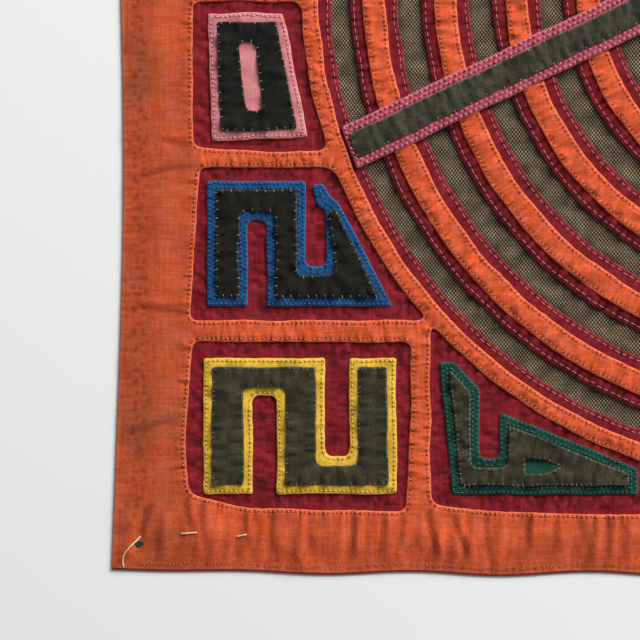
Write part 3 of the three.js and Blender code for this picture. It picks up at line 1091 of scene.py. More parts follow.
@dataclass
class Backing:
    """The olive cloth under everything, which shows between the rings."""

    recess: float = 0.4  # how far the round field lies below the rest
    slack: float = 0.45  # and how far it sinks between two rings, whose seams draw it up
    lowest: float = -0.9  # no part of its face lies further below its level
    # how dark the painted shade in the hollow beside a ring is
    ring_shade: float = 0.5
    sag: Ripple = Ripple(11, 14.0, 40.0, 0.07)
    folds: Ripple = Ripple(12, 6.0, 12.0, 0.3)

    def dip(self, xy: np.ndarray) -> np.ndarray:
        """Returns how far the round field lies below the cloth's level, as a height below 0."""
        turns = from_middle(xy) / FIELD.pitch
        off = np.abs(turns - np.round(turns)) * FIELD.pitch
        between = self.slack * smooth_step(off, FIELD.orange, FIELD.pitch / 2)
        return -(between + self.recess) * FIELD.inside(xy)

    def relief(self, xy: np.ndarray) -> np.ndarray:
        """Returns the height of the dip, its folds and the slow unevenness."""
        risen = self.sag.at(xy) + self.dip(xy) * (1 - self.folds.at(xy))
        return np.maximum(risen - PRESS[0] * OUTLINE.press(xy), self.lowest)

    def shade(self, xy: np.ndarray) -> np.ndarray:
        """Returns the painted shade on the cloth, in the troughs of its folds and in the hollow
        beside each ring.
        """
        off = np.abs((from_middle(xy) / FIELD.pitch + 0.5) % 1 - 0.5) * FIELD.pitch
        unshaded = smooth_step(off - FIELD.orange / 2 - FIELD.margin, -0.5, 1.8)
        return self.ring_shade * (1 - unshaded) + 0.8 * np.clip(-self.folds.at(xy), 0, 0.5)

    def build(self, box: SewingBox) -> list[bpy.types.Object]:
        """Builds the backing.

        Args:
            box: The threads in use.

        Returns:
            The cloth.
        """
        cloth = SewnCloth(
            "backing",
            OLIVE_CLOTH,
            [Edge(OUTLINE.loop(OUTLINE.under), PLAIN_HEM, 11)],
            face_height(0),
            level_foot(0),
            spacing=1.85,
            relief=self.relief,
            shade=self.shade,
            busy=lambda xy: (from_middle(xy) < FIELD.shown).astype(float),
        )
        return [cloth.make(box)]


@dataclass
class RingField:
    """The red rings cut from the ground and the orange rings sewn on them."""

    def build(self, box: SewingBox) -> list[bpy.types.Object]:
        """Builds the rings and the two dots in the middle.

        Args:
            box: The threads in use.

        Returns:
            The cloths, from the middle outwards.
        """
        made = []
        half = FIELD.orange / 2
        sunk = level_foot(1)
        kinds = (
            ("red", RED_CLOTH, RED_FOLD, half + FIELD.margin, 1, 2.4, 0.17),
            ("orange", ORANGE_CLOTH, ORANGE_FOLD, half, 2, 1.45, 0.24),
        )
        for k in range(FIELD.count + 1):
            middle = k * FIELD.pitch
            for colour, finish, seam, reach, layer, spacing, rise in kinds:
                red = layer == 1
                seed = 100 + 10 * k + red
                edges = [Edge(circle(middle + reach), seam, seed)]
                if k:
                    edges.append(Edge(circle(middle - reach), seam, seed + 5, hole=True))
                cloth = SewnCloth(
                    f"{colour}_ring_{k}" if k else f"{colour}_dot",
                    finish,
                    edges,
                    face_height(layer),
                    (lambda xy: sunk(xy) - Backing.recess) if red else level_foot(layer),
                    spacing=spacing,
                    relief=Ripple(seed, 4.0, 11.0, rise).at,
                )
                made.append(cloth.make(box))
        return made


@dataclass(frozen=True)
class Quarter:
    """One quarter of the panel: the lower left one mirrored, with its own patch colours."""

    name: str
    flip: tuple[int, int]
    rims: tuple[str, str, str, str]

    def place(self, points: np.ndarray) -> np.ndarray:
        """Mirrors points of the lower left quarter into this one."""
        return points * np.array(self.flip)


QUARTERS = (
    Quarter("lower_left", (1, 1), ("pink", "blue", "yellow", "green")),
    Quarter("lower_right", (-1, 1), ("blue", "yellow", "pink", "green")),
    Quarter("upper_left", (1, -1), ("yellow", "green", "blue", "pink")),
    Quarter("upper_right", (-1, -1), ("green", "pink", "yellow", "blue")),
)


@dataclass(frozen=True)
class Window:
    """A hand-cut window of the top cloth, which follows the outer ring where it meets it."""

    corners: tuple[tuple[float, ...], ...]
    corner: float = 2.8
    meet_corner: float = 4.5

    def outline(self) -> np.ndarray:
        """Returns the window's closed outline in the lower left quarter."""
        radius = FIELD.outer_out
        points: list[tuple[float, ...]] = []
        entry = 0.0
        for i, point in enumerate(self.corners):
            here = np.array(point[:2])
            side = np.array(self.corners[(i + 1) % len(self.corners)][:2]) - here
            outside = float(np.hypot(*here)) > radius
            if outside:
                points.append(point)
            if outside == (float(np.hypot(*(here + side))) > radius):
                continue
            half = here @ side / (side @ side)
            rest = math.sqrt(half**2 - (here @ here - radius**2) / (side @ side))
            meet = here + side * (-half + (-rest if outside else rest))
            angle = math.atan2(meet[1], meet[0])
            if outside:
                entry = angle
            else:
                # The arc keeps clear of its ends, so that the corners there can be rounded.
                clear = math.copysign(2 * self.meet_corner / radius, angle - entry)
                steps = np.linspace(entry + clear, angle - clear, 36)
                points += [(radius * math.cos(t), radius * math.sin(t), 0.0) for t in steps]
            points.append((meet[0], meet[1], self.meet_corner))
        return rounded(points, self.corner)


WINDOWS = (
    Window(((-199.4, -52.2), (-178, -53.9, 8), (-120, -53.6), (-120, -4.6), (-199.5, -4.6))),
    Window(((-200.4, -109.2), (-100, -109.2), (-100, -59.1), (-197.2, -59.1))),
    Window((
        (-200.9, -166.4, 4), (-181, -170.9, 8), (-129.6, -171.9), (-127.8, -135, 8),
        (-128.1, -116.5), (-199.4, -116.2), (-202, -146, 10),
    )),
    Window((
        (-121.4, -169.6, 4), (-103, -171.8, 8), (-66, -173, 10), (-3, -172.2), (-3, -100),
        (-121.6, -100),
    )),
)


@dataclass(frozen=True)
class Pleat:
    """A pleat of the border: its place along the hem, its width and its height."""

    at: float
    width: float
    rise: float


PLEATS = (
    Pleat(-196, 20, 0.7), Pleat(-168, 16, 0.9), Pleat(-146, 18, 0.6), Pleat(-118, 22, 1.1),
    Pleat(-92, 16, 0.7), Pleat(-66, 20, 0.9), Pleat(-38, 18, 0.6), Pleat(-8, 22, 0.8),
    Pleat(24, 18, 1.0), Pleat(52, 20, 0.7), Pleat(84, 24, 0.9), Pleat(116, 18, 0.6),
    Pleat(148, 22, 1.0), Pleat(184, 20, 0.7),
)


@dataclass(frozen=True)
class Crease:
    """A crease in the border: a soft trough between two places, with a ridge along one side."""

    start: tuple[float, float]
    end: tuple[float, float]
    width: float
    depth: float

    def at(self, xy: np.ndarray) -> tuple[np.ndarray, np.ndarray]:
        """Returns the crease's height and, from 0 to 1, how deep in its trough each place is."""
        run = np.array(self.end) - self.start
        length = float(np.hypot(*run))
        ahead = run / length
        off = xy - self.start
        along = off @ ahead
        across = off @ np.array([-ahead[1], ahead[0]]) + 0.35 * np.sin(along / 3)
        share = smooth_step(along, -2, 3) * (1 - smooth_step(along, length - 4, length + 2))
        trough = share * bell(across, self.width)
        ridge = share * bell(across - 1.9 * self.width, 1.3 * self.width)
        return self.depth * (0.7 * ridge - trough), trough


CREASES = (
    Crease((-122.5, -170.5), (-119.6, -187.5), 0.9, 0.94),
    Crease((-113.9, -172.5), (-109.2, -188.0), 0.83, 0.81),
    Crease((-102.8, -171.5), (-102.8, -187.0), 0.6, 0.54),
    Crease((-129.4, -172.0), (-131.6, -184.5), 0.98, 0.68),
    Crease((-146.0, -173.0), (-147.5, -186.0), 1, 0.54),
    Crease((-160.5, -172.0), (-161.0, -185.0), 0.9, 0.54),
    Crease((-173.4, -171.5), (-173.9, -186.0), 0.9, 0.68),
    Crease((-182.0, -171.0), (-181.6, -186.0), 0.9, 0.61),
    Crease((-196.0, -169.0), (-196.2, -184.0), 0.98, 0.68),
    Crease((-201.6, -166.5), (-200.2, -179.0), 0.75, 0.61),
    Crease((-212.5, -169.5), (-217.6, -181.0), 1, 0.81),
    Crease((-88.8, -173.0), (-89.6, -184.0), 0.9, 0.61),
    Crease((-79.5, -173.5), (-80.8, -185.0), 0.9, 0.54),
    Crease((-71.5, -173.5), (-70.6, -184.0), 0.98, 0.61),
    Crease((-62.5, -174.0), (-63.5, -186.0), 0.9, 0.61),
    Crease((-210.0, -49.6), (-198.7, -52.4), 0.83, 0.47),
    Crease((-221.5, -62.2), (-198.5, -58.6), 0.9, 0.47),
    Crease((-219.0, -104.0), (-200.5, -107.5), 0.98, 0.41),
    Crease((-222.0, -146.0), (-203.5, -142.0), 0.98, 0.41),
)


@dataclass
class OrangeTop:
    """The orange top cloth with its border, windows and outer ring."""

    border_x: float = 201.0
    border_y: float = 172.0
    fresh: tuple[float, float] = (-222.5, -184.5)  # this corner was folded in and hasn't faded
    unpicked: tuple[float, float] = (-218.2, -215.8)  # x of two old seams
    unpicked_pitch: float = 2.6  # between their needle holes
    deepest: float = 1.0  # no crease goes deeper where the cloth isn't pressed
    rib_depth: float = 0.5
    uneven: Ripple = Ripple(32, 12.0, 40.0, 0.14)
    ribbing: Ripple = Ripple(31, 4.5, 10.0, 0.52)
    hem_seam: Seam = Seam(
        Stitch.HIDDEN, pitch=2.4, inset=1.8, dent=0.1, roll=0.8, gather=0.1,
        gather_pitch=6.0, reach=5.0, waver=0.0, mark=0.15,
    )

    def relief(self, xy: np.ndarray) -> np.ndarray:
        """Returns the height of the pleats, the border's fine ribs and the slow unevenness."""
        along = np.where(xy[:, 1] < 0, 1, -1) * xy[:, 0]
        inset = np.maximum(0, OUTLINE.from_hem(xy))
        share = np.interp(inset, [0, 3, 8, 15], [0.1, 0.5, 1, 0])
        lift = np.zeros(len(xy))
        for pleat in PLEATS:
            off = np.clip(np.abs(along - pleat.at) / (pleat.width / 2), 0, 1)
            lift += pleat.rise * 0.5 * (1 + np.cos(math.pi * off))
        press = OUTLINE.press(xy)
        loose = 0.15 + 0.85 * smooth_step(inset, 0, 6)
        soft = self.ribs(xy) + self.creases(xy)[0] + self.uneven.at(xy)
        risen = lift * share + loose * soft - PRESS[2] * press
        return np.maximum(risen, -self.deepest - (PRESS[2] - self.deepest) * press)

    def ribs(self, xy: np.ndarray) -> np.ndarray:
        """Returns the fine upright ribs that the hems gather into."""
        in_hem = smooth_step(np.abs(xy[:, 1]), self.border_y - 2, self.border_y + 5)
        lean = np.column_stack([xy[:, 0] + 0.12 * np.abs(xy[:, 1]), 0.02 * xy[:, 1]])
        return in_hem * np.maximum(-self.rib_depth, self.ribbing.at(lean))

    def creases(self, xy: np.ndarray) -> tuple[np.ndarray, np.ndarray]:
        """Returns the height and the troughs of the creases, the same on both long halves."""
        lower = xy * np.where(xy[:, 1:] < 0, 1, -1)
        made = [crease.at(lower) for crease in CREASES]
        return sum(lift for lift, _ in made), np.max([trough for _, trough in made], axis=0)

    def shade(self, xy: np.ndarray) -> np.ndarray:
        """Returns the painted shade between the ribs and in the creases."""
        between = np.clip(-self.ribs(xy) / self.rib_depth, 0, 1)
        return 0.15 * between + 0.45 * self.creases(xy)[1]

    def fade(self, xy: np.ndarray) -> np.ndarray:
        """Returns 1 on the side borders, less on the hems and at the fresh corner, 0 elsewhere."""
        side = smooth_step(np.abs(xy[:, 0]), self.border_x - 6, self.border_x + 3)
        hem = 0.35 * smooth_step(np.abs(xy[:, 1]), self.border_y - 3, self.border_y + 5)
        from_corner = from_middle(xy - self.fresh)
        return np.maximum(side, hem) * (0.35 + 0.65 * smooth_step(from_corner, 3.0, 8.5))

    def old_seams(self) -> np.ndarray:
        """Returns the needle holes of two seams that were once unpicked from the left border."""
        rng = np.random.default_rng(33)
        holes = []
        for x in self.unpicked:
            y = np.arange(-self.border_y, self.border_y, self.unpicked_pitch)
            across, up = rng.normal(0, 0.5, len(y)), rng.normal(0, 0.8, len(y))
            holes.append(np.column_stack([x + across, y + up]))
        return np.vstack(holes)

    def build(self, box: SewingBox) -> list[bpy.types.Object]:
        """Builds the top cloth.

        Args:
            box: The threads in use.

        Returns:
            The cloth.
        """
        edges = [
            Edge(OUTLINE.loop(0.0), self.hem_seam, 30),
            Edge(circle(FIELD.outer_in), ORANGE_FOLD, 31, hole=True),
        ]
        for number, quarter in enumerate(QUARTERS):
            for i, window in enumerate(WINDOWS):
                outline = quarter.place(window.outline())
                edges.append(Edge(outline, ORANGE_FOLD, 300 + 10 * number + i, hole=True))
        cloth = SewnCloth(
            "orange_top",
            ORANGE_CLOTH,
            edges,
            face_height(2),
            lambda xy: level_foot(2)(xy) - PRESS[1] * OUTLINE.press(xy),
            spacing=1.25,
            relief=self.relief,
            fade=self.fade,
            shade=self.shade,
            pricks=self.old_seams(),
        )
        return [cloth.make(box)]


RIM = 2.9  # width of the coloured rim that a patch's dark cloth leaves
PATCH_CORNER = 0.9


@dataclass
class PointedBands:
    """A pointed band on each side, olive on pink, laid over the rings."""

    width: float = 14.8
    rim: float = 3.3
    end_rim: float = 1.5
    tilt: float = 25.57
    point_x: float = -37.75
    end_radius: float = 157.4
    sink: float = 0.28
    rim_seam: Seam = Seam(
        Stitch.RUNNING, PINK_THREAD, pitch=1.8, inset=0.85, length=1.5, radius=0.3,
        dent=0.4, roll=0.55, gather=0.18, gather_pitch=3.6, waver=0.2, second=2.35, mark=1.0,
        spread=0.5, tuck=0.1, slant=0.22,
    )
    top_seam: Seam = Seam(
        Stitch.WHIP, TAN_THREAD, pitch=2.0, inset=0.8, length=1.0, radius=0.12, dent=0.18,
        roll=0.5, gather=0.45, gather_pitch=5.5, reach=7.0, waver=0.2, every=3, mark=0.3,
        shade=0.7,
    )

    def outline(self, rim: float, end_rim: float) -> list[list[float]]:
        """Returns the left band's corners, anticlockwise, with rims taken off sides and ends."""
        tilt = math.radians(self.tilt)
        half = self.width / 2 - rim
        reach = self.end_radius - end_rim
        corners = []
        for sign in (1, -1):
            point = self.point_x + sign * half / math.sin(tilt)
            offset = abs(point * math.sin(tilt))
            travel = math.sqrt(reach**2 - offset**2) + point * math.cos(tilt)
            corners.append((point, point - travel * math.cos(tilt), -travel * math.sin(tilt)))
        (outer, outer_x, outer_y), (inner, inner_x, inner_y) = corners
        return [
            [outer_x, outer_y], [outer, 0], [outer_x, -outer_y],
            [inner_x, -inner_y], [inner, 0], [inner_x, inner_y],
        ]

    def sag(self, xy: np.ndarray) -> np.ndarray:
        """Returns how far a band sinks between the rings that carry it."""
        return -self.sink * (1 - np.cos(2 * math.pi * (from_middle(xy) / FIELD.pitch)))

    def build(self, box: SewingBox) -> list[bpy.types.Object]:
        """Builds the two bands.

        Args:
            box: The threads in use.

        Returns:
            Both rims and both tops.
        """
        made = []
        for side, flip in (("left", 1), ("right", -1)):
            # A rim's folds come further down between two rings than the band itself sags.
            for part, seam, finish, layer, rims, droop in (
                ("rim", self.rim_seam, ROSE_CLOTH, 3, (0.0, 0.0), 2.4),
                ("top", self.top_seam, FADED_MOSS_CLOTH, 4, (self.rim, self.end_rim), 1.0),
            ):
                seed = 400 + layer + (10 if flip < 0 else 0)
                outline = rounded(self.outline(*rims), PATCH_CORNER) * np.array([flip, 1])
                ripple = Ripple(seed, 4.0, 9.0, 0.13)
                foot = level_foot(layer)
                cloth = SewnCloth(
                    f"band_{side}_{part}",
                    finish,
                    [Edge(outline, seam, seed)],
                    face_height(layer),
                    lambda xy, f=foot, d=droop: f(xy) + d * self.sag(xy),
                    spacing=1.5,
                    relief=lambda xy, r=ripple: r.at(xy * (1.0, 0.25)) + self.sag(xy),
                )
                made.append(cloth.make(box))
        return made


@dataclass(frozen=True)
class Meander:
    """Three legs from left to right, tied at the top and then at the bottom."""

    left: float
    right: float
    bottom: float
    top: float
    first_leg: float
    channel: float
    second_leg: float
    notch: float
    tie: float
    tip: tuple[tuple[float, ...], ...]  # end of the last leg
    knob: tuple[tuple[float, ...], ...] = ()  # bent end of the rim cloth instead
    knob_top: tuple[tuple[float, ...], ...] = ()  # and the dark cloth's blunt point under it
    corner: float = 2.6

    def rim(self) -> list[list[float]]:
        """Returns the rim cloth's corners, anticlockwise."""
        return self._legs(self.knob or self.tip)

    def top_cloth(self, rim: float) -> list[list[float]]:
        """Returns the dark cloth's corners, with a rim taken off all round."""
        moved = inset_outline(self._legs(self.tip), rim)
        if self.knob_top:
            moved[6 : 6 + len(self.tip)] = [list(point) for point in self.knob_top]
        return moved

    def _legs(self, tip: Corners) -> list[list[float]]:
        """Returns the corners with that end to the last leg."""
        channel_left = self.left + self.first_leg
        channel_right = channel_left + self.channel
        notch_left = channel_right + self.second_leg
        notch_right = notch_left + self.notch
        channel_top, notch_bottom = self.top - self.tie, self.bottom + self.tie
        return [
            [self.left, self.bottom], [channel_left, self.bottom],
            [channel_left, channel_top, self.corner], [channel_right, channel_top, self.corner],
            [channel_right, self.bottom], [self.right, self.bottom],
            *[list(point) for point in tip],
            [notch_right, notch_bottom, self.corner], [notch_left, notch_bottom, self.corner],
            [notch_left, self.top], [self.left, self.top],
        ]


@dataclass(frozen=True)
class Patch:
    """A coloured cloth in a window, with a darker one on it."""

    name: str
    rim: list[list[float]]
    dark: list[list[float]]
    finish: str
    slot: list[list[float]] | None
    slot_corner: float
    tick_pitch: float
    tick_every: int
    tick_thread: SewingThread
    tick_kept: float

    def rim_line(self) -> np.ndarray:
        """Returns the coloured cloth's closed outline."""
        return rounded(self.rim, PATCH_CORNER)


BLOCK = [[-193.2, -50.5], [-161.6, -49.2], [-169.8, -8.3], [-194.6, -8.5]]
RING_MEANDER = Meander(
    -194.8, -133.8, -104.6, -63.5, 13.4, 6.2, 12.8, 7.0, 13.0,
    tip=((-151.6, -70.4), (-156.0, -70.4)),
    knob=(
        (-151.6, -70.4), (-154.3, -68.4, 0.8), (-156.8, -64.3, 1.3), (-160.0, -64.8, 1.3),
        (-159.0, -71.0, 1.5), (-156.0, -73.2, 0.8),
    ),
    knob_top=((-151.9, -74.0), (-153.4, -72.6), (-155.0, -74.4)),
)
CORNER_MEANDER = Meander(
    -196.0, -132.3, -166.2, -121.6, 16.2, 7.9, 15.8, 8.0, 12.3,
    tip=((-132.9, -121.6), (-148.2, -121.6)),
)
STEP = [
    [-114.2, -166.4], [-53.6, -166.4], [-53.6, -157.6], [-98.8, -139.2], [-98.8, -154.6, 2.6],
    [-105.4, -154.6, 2.6], [-105.4, -131.5], [-113.5, -122.8], [-118.6, -122.8],
]
PATCHES = (
    Patch(
        "block", BLOCK, inset_outline(BLOCK, RIM), "black",
        [[-182.0, -40.6], [-176.4, -40.6], [-178.9, -17.9], [-184.5, -17.9]], 2.5, 1.35, 2,
        TAN_THREAD, 0.9,
    ),
    Patch(
        "ring_meander", RING_MEANDER.rim(), RING_MEANDER.top_cloth(RIM), "black",
        None, 0.0, 1.4, 2, TAN_THREAD, 0.9,
    ),
    Patch(
        "corner_meander", CORNER_MEANDER.rim(), CORNER_MEANDER.top_cloth(RIM), "moss",
        None, 0.0, 1.5, 1, MOSS_THREAD, 0.45,
    ),
    Patch(
        "step", STEP, inset_outline(STEP, RIM), "moss",
        [[-90.4, -159.8], [-84.0, -159.4], [-78.6, -157.2], [-83.6, -155.0], [-90.4, -154.6]],
        0.45, 1.6, 1, MOSS_THREAD, 0.75,
    ),
)


@dataclass
class RedGround:
    """The red cloth that shows in the windows and just inside the outer ring."""

    pucker: float = 0.6
    pucker_pitch: float = 5.4
    pucker_reach: float = 7.0
    pucker_top: float = 0.9  # swells are cut off here, under the patches' folds
    dark: float = 0.8  # how dark the painted shade in a crease is
    swell: Ripple = Ripple(22, 6.0, 16.0, 0.12)

    def _foot(self, xy: np.ndarray) -> np.ndarray:
        """Returns the height of the backing under the ground's folds."""
        sunk = PRESS[0] * OUTLINE.press(xy)
        return level_foot(1)(xy) - sunk - Backing.recess * FIELD.inside(xy)

    def _folds(self) -> list[Edge]:
        """Returns the folds that are sewn to the ground in its windows."""
        plain = Seam(Stitch.HIDDEN, pitch=2.0, waver=0.0)
        folds = []
        for number, quarter in enumerate(QUARTERS):
            for i, (window, patch) in enumerate(zip(WINDOWS, PATCHES)):
                seed = 800 + 20 * number + 2 * i
                folds.append(Edge(quarter.place(window.outline()), plain, seed, hole=True))
                folds.append(Edge(quarter.place(patch.rim_line()), plain, seed + 1))
        return folds

    def _in_windows(self, xy: np.ndarray) -> np.ndarray:
        """Marks the places that a window may show."""
        lower_left = -np.abs(xy)
        shown = np.zeros(len(xy), bool)
        for window in WINDOWS:
            low, high = window.outline().min(axis=0) - 1, window.outline().max(axis=0) + 1
            shown |= ((lower_left > low) & (lower_left < high)).all(axis=1)
        return shown.astype(float)

    def build(self, box: SewingBox) -> list[bpy.types.Object]:
        """Builds the ground.

        Args:
            box: The threads in use.

        Returns:
            The cloth.
        """
        folds = self._folds()
        lines = [fold.points for fold in folds]
        first = np.cumsum([0] + [len(line) for line in lines])
        tree = sorted_places(np.vstack(lines))

        def creases(xy: np.ndarray) -> tuple[np.ndarray, np.ndarray]:
            """Returns the lift of creases that run in from the nearest fold, and their painted shade.
            """
            number, off = nearest(tree, xy)
            share = bell(off, self.pucker_reach) * (0.3 + 0.7 * smooth_step(off, 0, 2.5))
            share *= crossings_inside(lines, xy)
            owner = np.searchsorted(first, number, side="right") - 1
            wave = np.zeros(len(xy))
            for k in np.unique(owner):
                mine = owner == k
                wave[mine] = folds[k].along(number[mine] - first[k], self.pucker_pitch, Salt.PUCKER)
            lift = self.pucker * share * np.minimum(creased(wave), self.pucker_top)
            return lift, self.dark * share * bell(wave, 0.5)

        def relief(xy: np.ndarray) -> np.ndarray:
            """Returns the height of the creases and the slow swell."""
            slow = self.swell.at(xy) * self._in_windows(xy)
            return creases(xy)[0] + slow - PRESS[1] * OUTLINE.press(xy)

        cloth = SewnCloth(
            "red_ground",
            RED_CLOTH,
            [
                Edge(OUTLINE.loop(OUTLINE.under), PLAIN_HEM, 20),
                Edge(circle(FIELD.ground), RED_FOLD, 21, hole=True),
            ],
            face_height(1),
            self._foot,
            spacing=1.1,
            relief=relief,
            shade=lambda xy: creases(xy)[1],
            busy=lambda xy: crossings_inside(lines, xy).astype(float),
        )
        return [cloth.make(box)]


@dataclass
class WindowPatches:
    """The four patches of every quarter."""

    crease: float = 0.3  # depth of the folds across a rim cloth
    crease_shade: float = 0.3  # and how dark their painted shade is
    sewn_twice: tuple[str, ...] = ("blue", "green")  # rims with two lines of stitches

    def rim_folds(self, xy: np.ndarray, seed: int) -> np.ndarray:
        """Returns how deep in a fold of its rim cloth each place is, from 0 to 1."""
        return np.clip(Ripple(seed, 3.5, 8.0, 0.6).at(xy * (0.4, 1.0)), 0, 1)

    def rim_seam(self, colour: str) -> Seam:
        """Returns the seam of a rim cloth of that colour."""
        twice = colour in self.sewn_twice
        return Seam(
            Stitch.RUNNING, RIM_THREADS[colour], pitch=1.5, inset=0.8 if twice else 1.0,
            second=2.3 if twice else 0.0, length=1.15, radius=0.2, dent=0.36, roll=0.55,
            gather=0.16, gather_pitch=3.6, waver=0.18, mark=0.6, spread=0.4, tuck=0.1,
        )

    def top_seam(self, patch: Patch) -> Seam:
        """Returns the seam of a patch's dark cloth."""
        return Seam(
            Stitch.WHIP, patch.tick_thread, pitch=patch.tick_pitch, inset=0.8, length=1.25,
            radius=0.105, dent=0.2, roll=0.55, gather=0.5, gather_pitch=6.0,
            reach=6.5, waver=0.18, every=patch.tick_every, mark=0.3, shade=0.65,
            kept=patch.tick_kept, slant=0.35,
        )

    def build(self, box: SewingBox) -> list[bpy.types.Object]:
        """Builds the patches.

        Args:
            box: The threads in use.

        Returns:
            The rims and tops of all quarters.
        """
        made = []
        for number, quarter in enumerate(QUARTERS):
            for i, patch in enumerate(PATCHES):
                seed = 500 + 40 * number + 4 * i
                colour, top_seam = quarter.rims[i], self.top_seam(patch)
                rim_edges = [Edge(quarter.place(patch.rim_line()), self.rim_seam(colour), seed)]
                top_line = quarter.place(rounded(patch.dark, PATCH_CORNER))
                top_edges = [Edge(top_line, top_seam, seed + 1)]
                if patch.slot:
                    slot_line = quarter.place(rounded(patch.slot, patch.slot_corner))
                    top_edges.append(Edge(slot_line, top_seam, seed + 2, hole=True))
                folded = partial(self.rim_folds, seed=seed + 3)
                for part, edges, finish, layer, spacing, rise, fold in (
                    ("rim", rim_edges, CLOTHS[colour], 2, 1.6, 0.08, folded),
                    ("top", top_edges, CLOTHS[patch.finish], 3, 1.3, 0.25, no_relief),
                ):
                    swell = Ripple(seed + layer, 5.0, 12.0, rise)
                    cloth = SewnCloth(
                        f"{quarter.name}_{patch.name}_{part}",
                        finish,
                        edges,
                        face_height(layer),
                        level_foot(layer),
                        spacing=spacing,
                        relief=lambda xy, s=swell, f=fold: s.at(xy) - self.crease * f(xy),
                        shade=lambda xy, f=fold: self.crease_shade * f(xy),
                    )
                    made.append(cloth.make(box))
        return made


@dataclass
class LooseEnds:
    """What is left on the border by hand: a loose thread, basting, a scrap and a frayed hem."""

    thread_radius: float = 0.24
    thread_sides: int = 8
    thread_arch: float = 0.35  # how far a strand's middle stands off the cloth
    loose: tuple[tuple[float, float], ...] = (
        (-222.1, -190.2), (-222.3, -187.2), (-221.1, -184.6), (-218.8, -182.3), (-217.2, -181.0),
        (-216.6, -179.9),
    )
    basting: tuple[tuple[tuple[float, float], tuple[float, float]], ...] = (
        ((-203.3, -179.2), (-198.1, -178.8)),
        ((-185.1, -180.2), (-181.8, -179.4)),
    )
    scrap: tuple[float, float] = (-217.1, -182.5)
    scrap_size: tuple[float, float] = (2.8, 2.0)
    scrap_mesh: tuple[int, int] = (9, 7)  # points across and up
    scrap_thickness: float = 0.1
    fray_from: float = -216.0  # clear of the loose thread
    fray_pitch: float = 0.55
    fray_length: float = 1.5
    fray_inset: float = 2.6
    fray_radius: float = 0.09
    fray_lift: float = 0.12

    def _on_border(self, xy: np.ndarray) -> np.ndarray:
        """Returns the height of the orange border there."""
        return face_height(2) + OrangeTop().relief(xy)

    def _strand(self, name: str, line: np.ndarray) -> bpy.types.Object:
        """Lays a round cream thread along a line on the border.

        Args:
            name: The piece's name.
            line: The line's places.

        Returns:
            The thread.
        """
        run = run_along(line)
        at = np.linspace(0, run[-1], max(6, int(run[-1] / 0.5)))
        fit = np.polynomial.Polynomial.fit
        degree = min(3, len(line) - 1)
        xy = np.column_stack([fit(run, line[:, i], degree)(at) for i in (0, 1)])
        rise = self.thread_arch * np.sin(np.linspace(0, math.pi, len(at)))
        spine = np.column_stack([xy, self._on_border(xy) + 0.6 * self.thread_radius + rise])
        ahead = np.gradient(spine, axis=0)
        side = np.stack([-ahead[:, 1], ahead[:, 0], np.zeros(len(at))], axis=1)
        side /= np.linalg.norm(side, axis=1)[:, None]
        up = np.cross(ahead / np.linalg.norm(ahead, axis=1)[:, None], side)
        girth = self.thread_radius * (1 + 0.12 * np.sin(np.arange(len(at)) * 2.1))
        sides = self.thread_sides
        rings = [
            spine + girth[:, None] * (math.cos(t) * side + math.sin(t) * up)
            for t in np.linspace(0, 2 * math.pi, sides, endpoint=False)
        ]
        verts = np.stack(rings, axis=1).reshape(-1, 3)
        faces: list[tuple[int, ...]] = []
        for i in range(len(at) - 1):
            for k in range(sides):
                a, b = i * sides + k, i * sides + (k + 1) % sides
                faces.append((a, b, b + sides, a + sides))
        faces += [tuple(range(sides - 1, -1, -1)), tuple(range(len(verts) - sides, len(verts)))]
        return dress(write_mesh(name, verts, faces), CREAM_THREAD)

    def _scrap(self) -> bpy.types.Object:
        """Lays a crumpled scrap of green cloth under the loose thread and returns it."""
        rng = np.random.default_rng(41)
        wide, high = self.scrap_mesh
        count = wide * high
        u, v = np.meshgrid(np.linspace(-0.5, 0.5, wide), np.linspace(-0.5, 0.5, high))
        u, v = u * np.sqrt(1 - 2 * v**2), v * np.sqrt(1 - 2 * u**2)
        turn = 1 + 0.16 * np.sin(3 * np.arctan2(v, u) + 1.0)
        xy = np.column_stack([
            self.scrap[0] + (self.scrap_size[0] * u * turn).ravel(),
            self.scrap[1] + (self.scrap_size[1] * v * turn).ravel(),
        ])
        crumple = 0.16 * rng.normal(size=len(xy)) + 0.25
        upper = np.column_stack([xy, self._on_border(xy) + np.maximum(0.12, crumple)])
        lower = upper - (0, 0, self.scrap_thickness)
        faces: list[tuple[int, ...]] = []
        for j in range(high - 1):
            for i in range(wide - 1):
                quad = [j * wide + i + step for step in (0, 1, wide + 1, wide)]
                faces.append(tuple(quad))
                faces.append(tuple(count + quad[k] for k in (0, 3, 2, 1)))
        rim = [
            *range(wide), *range(2 * wide - 1, count, wide),
            *range(count - 2, count - wide - 1, -1), *range(count - 2 * wide, 0, -wide),
        ]
        for a, b in zip(rim, rim[1:] + rim[:1]):
            faces.append((b, a, count + a, count + b))
        return dress(write_mesh("green_scrap", np.vstack([upper, lower]), faces), GREEN_CLOTH)

    def build(self, box: SewingBox) -> list[bpy.types.Object]:
        """Builds the loose ends and adds the frayed threads of the two hems.

        Args:
            box: The threads in use.

        Returns:
            The loose thread, the basting and the scrap.
        """
        made = [self._strand("loose_cream_thread", np.array(self.loose)), self._scrap()]
        for number, ends in enumerate(self.basting):
            made.append(self._strand(f"basting_{number + 1}", np.array(ends)))
        rng = np.random.default_rng(42)
        for turn in (1, -1):
            x = np.arange(self.fray_from, OUTLINE.corner_x - 2, self.fray_pitch)
            x = x + rng.normal(0, 0.12, len(x))
            inset = self.fray_inset + rng.normal(0, 0.3, len(x))
            start = np.column_stack([x, OUTLINE.hem(x) + inset])
            lean = rng.normal(0, 0.35, len(x))
            end = start + np.column_stack([lean, -self.fray_length * rng.uniform(0.6, 1.2, len(x))])
            start, end = (
                np.column_stack([turn * spot, self._on_border(turn * spot) + 0.02])
                for spot in (start, end)
            )
            box.thread(FRAYED_THREAD).add(start, end, self.fray_radius, self.fray_lift)
        return made


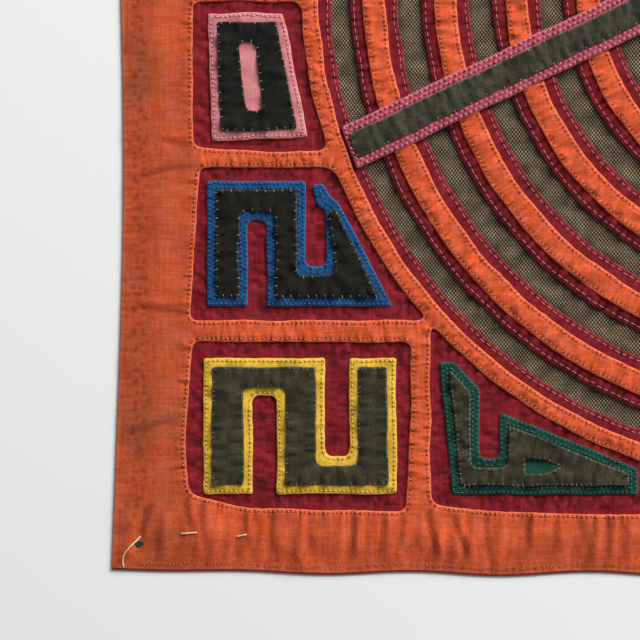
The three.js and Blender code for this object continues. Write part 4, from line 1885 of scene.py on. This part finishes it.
@dataclass
class Studio:
    """A pale floor, soft light from the upper right and a camera straight above the corner."""

    view_x: float = -157.7
    view_y: float = -109.1
    view_width: float = 210.2
    distance: float = 2200.0
    floor_size: float = 6000.0
    floor_points: int = 13
    floor_drop: float = 0.2
    sensor: float = 36.0
    fill: float = 0.27
    key_energy: float = 55.0
    key_size: float = 1.1  # this and the next are in metres
    key_offset: tuple[float, float, float] = (0.95, 1.25, 1.15)

    def build(self) -> None:
        """Builds the floor, the lights and the camera."""
        self._floor()
        self._lights()
        self._camera()

    def _floor(self) -> None:
        """Lays the floor just under the panel."""
        half, count = self.floor_size / 2, self.floor_points
        steps = np.linspace(-half, half, count)
        verts = np.array([(x, y, -self.floor_drop) for y in steps for x in steps])
        faces = [
            (j * count + i, j * count + i + 1, (j + 1) * count + i + 1, (j + 1) * count + i)
            for j in range(count - 1)
            for i in range(count - 1)
        ]
        floor = write_mesh("floor", verts, faces)
        floor.data.materials.append(PAPER.material())

    def _lights(self) -> None:
        """Sets one large soft light to the upper right and an even fill."""
        world = bpy.data.worlds.new("studio")
        bpy.context.scene.world = world
        world.use_nodes = True
        tree = world.node_tree
        tree.nodes.clear()
        white = (1.0, 1.0, 1.0, 1.0)
        glow = add_node(tree, "Background", {"Color": white, "Strength": self.fill})
        add_node(tree, "OutputWorld", {"Surface": glow})
        data = bpy.data.lights.new("key", "AREA")
        data.shape = "SQUARE"
        data.size = self.key_size
        data.energy = self.key_energy
        key = bpy.data.objects.new("key", data)
        target = Vector((self.view_x * MM, self.view_y * MM, 0))
        key.location = target + Vector(self.key_offset)
        key.rotation_euler = (target - key.location).to_track_quat("-Z", "Y").to_euler()
        bpy.context.scene.collection.objects.link(key)
        bpy.context.scene.view_settings.view_transform = "Standard"

    def _camera(self) -> None:
        """Points a long lens straight down at the lower left corner."""
        data = bpy.data.cameras.new("camera")
        data.sensor_width = self.sensor
        data.lens = self.sensor * self.distance / self.view_width
        data.clip_end = 50.0
        camera = bpy.data.objects.new("camera", data)
        camera.location = (self.view_x * MM, self.view_y * MM, self.distance * MM)
        bpy.context.scene.collection.objects.link(camera)
        bpy.context.scene.camera = camera


def main() -> None:
    """Builds the panel's cloths and threads and sets the studio."""
    logging.basicConfig(level=logging.INFO, format="%(message)s")
    Studio().build()
    box = SewingBox()
    backing = Backing().build(box)[0]
    ground = RedGround().build(box)[0]
    top = OrangeTop().build(box)[0]
    rings = RingField().build(box)
    bands = PointedBands().build(box)
    patches = WindowPatches().build(box)
    threads = LooseEnds().build(box) + box.build()


if __name__ == "__main__":
    main()
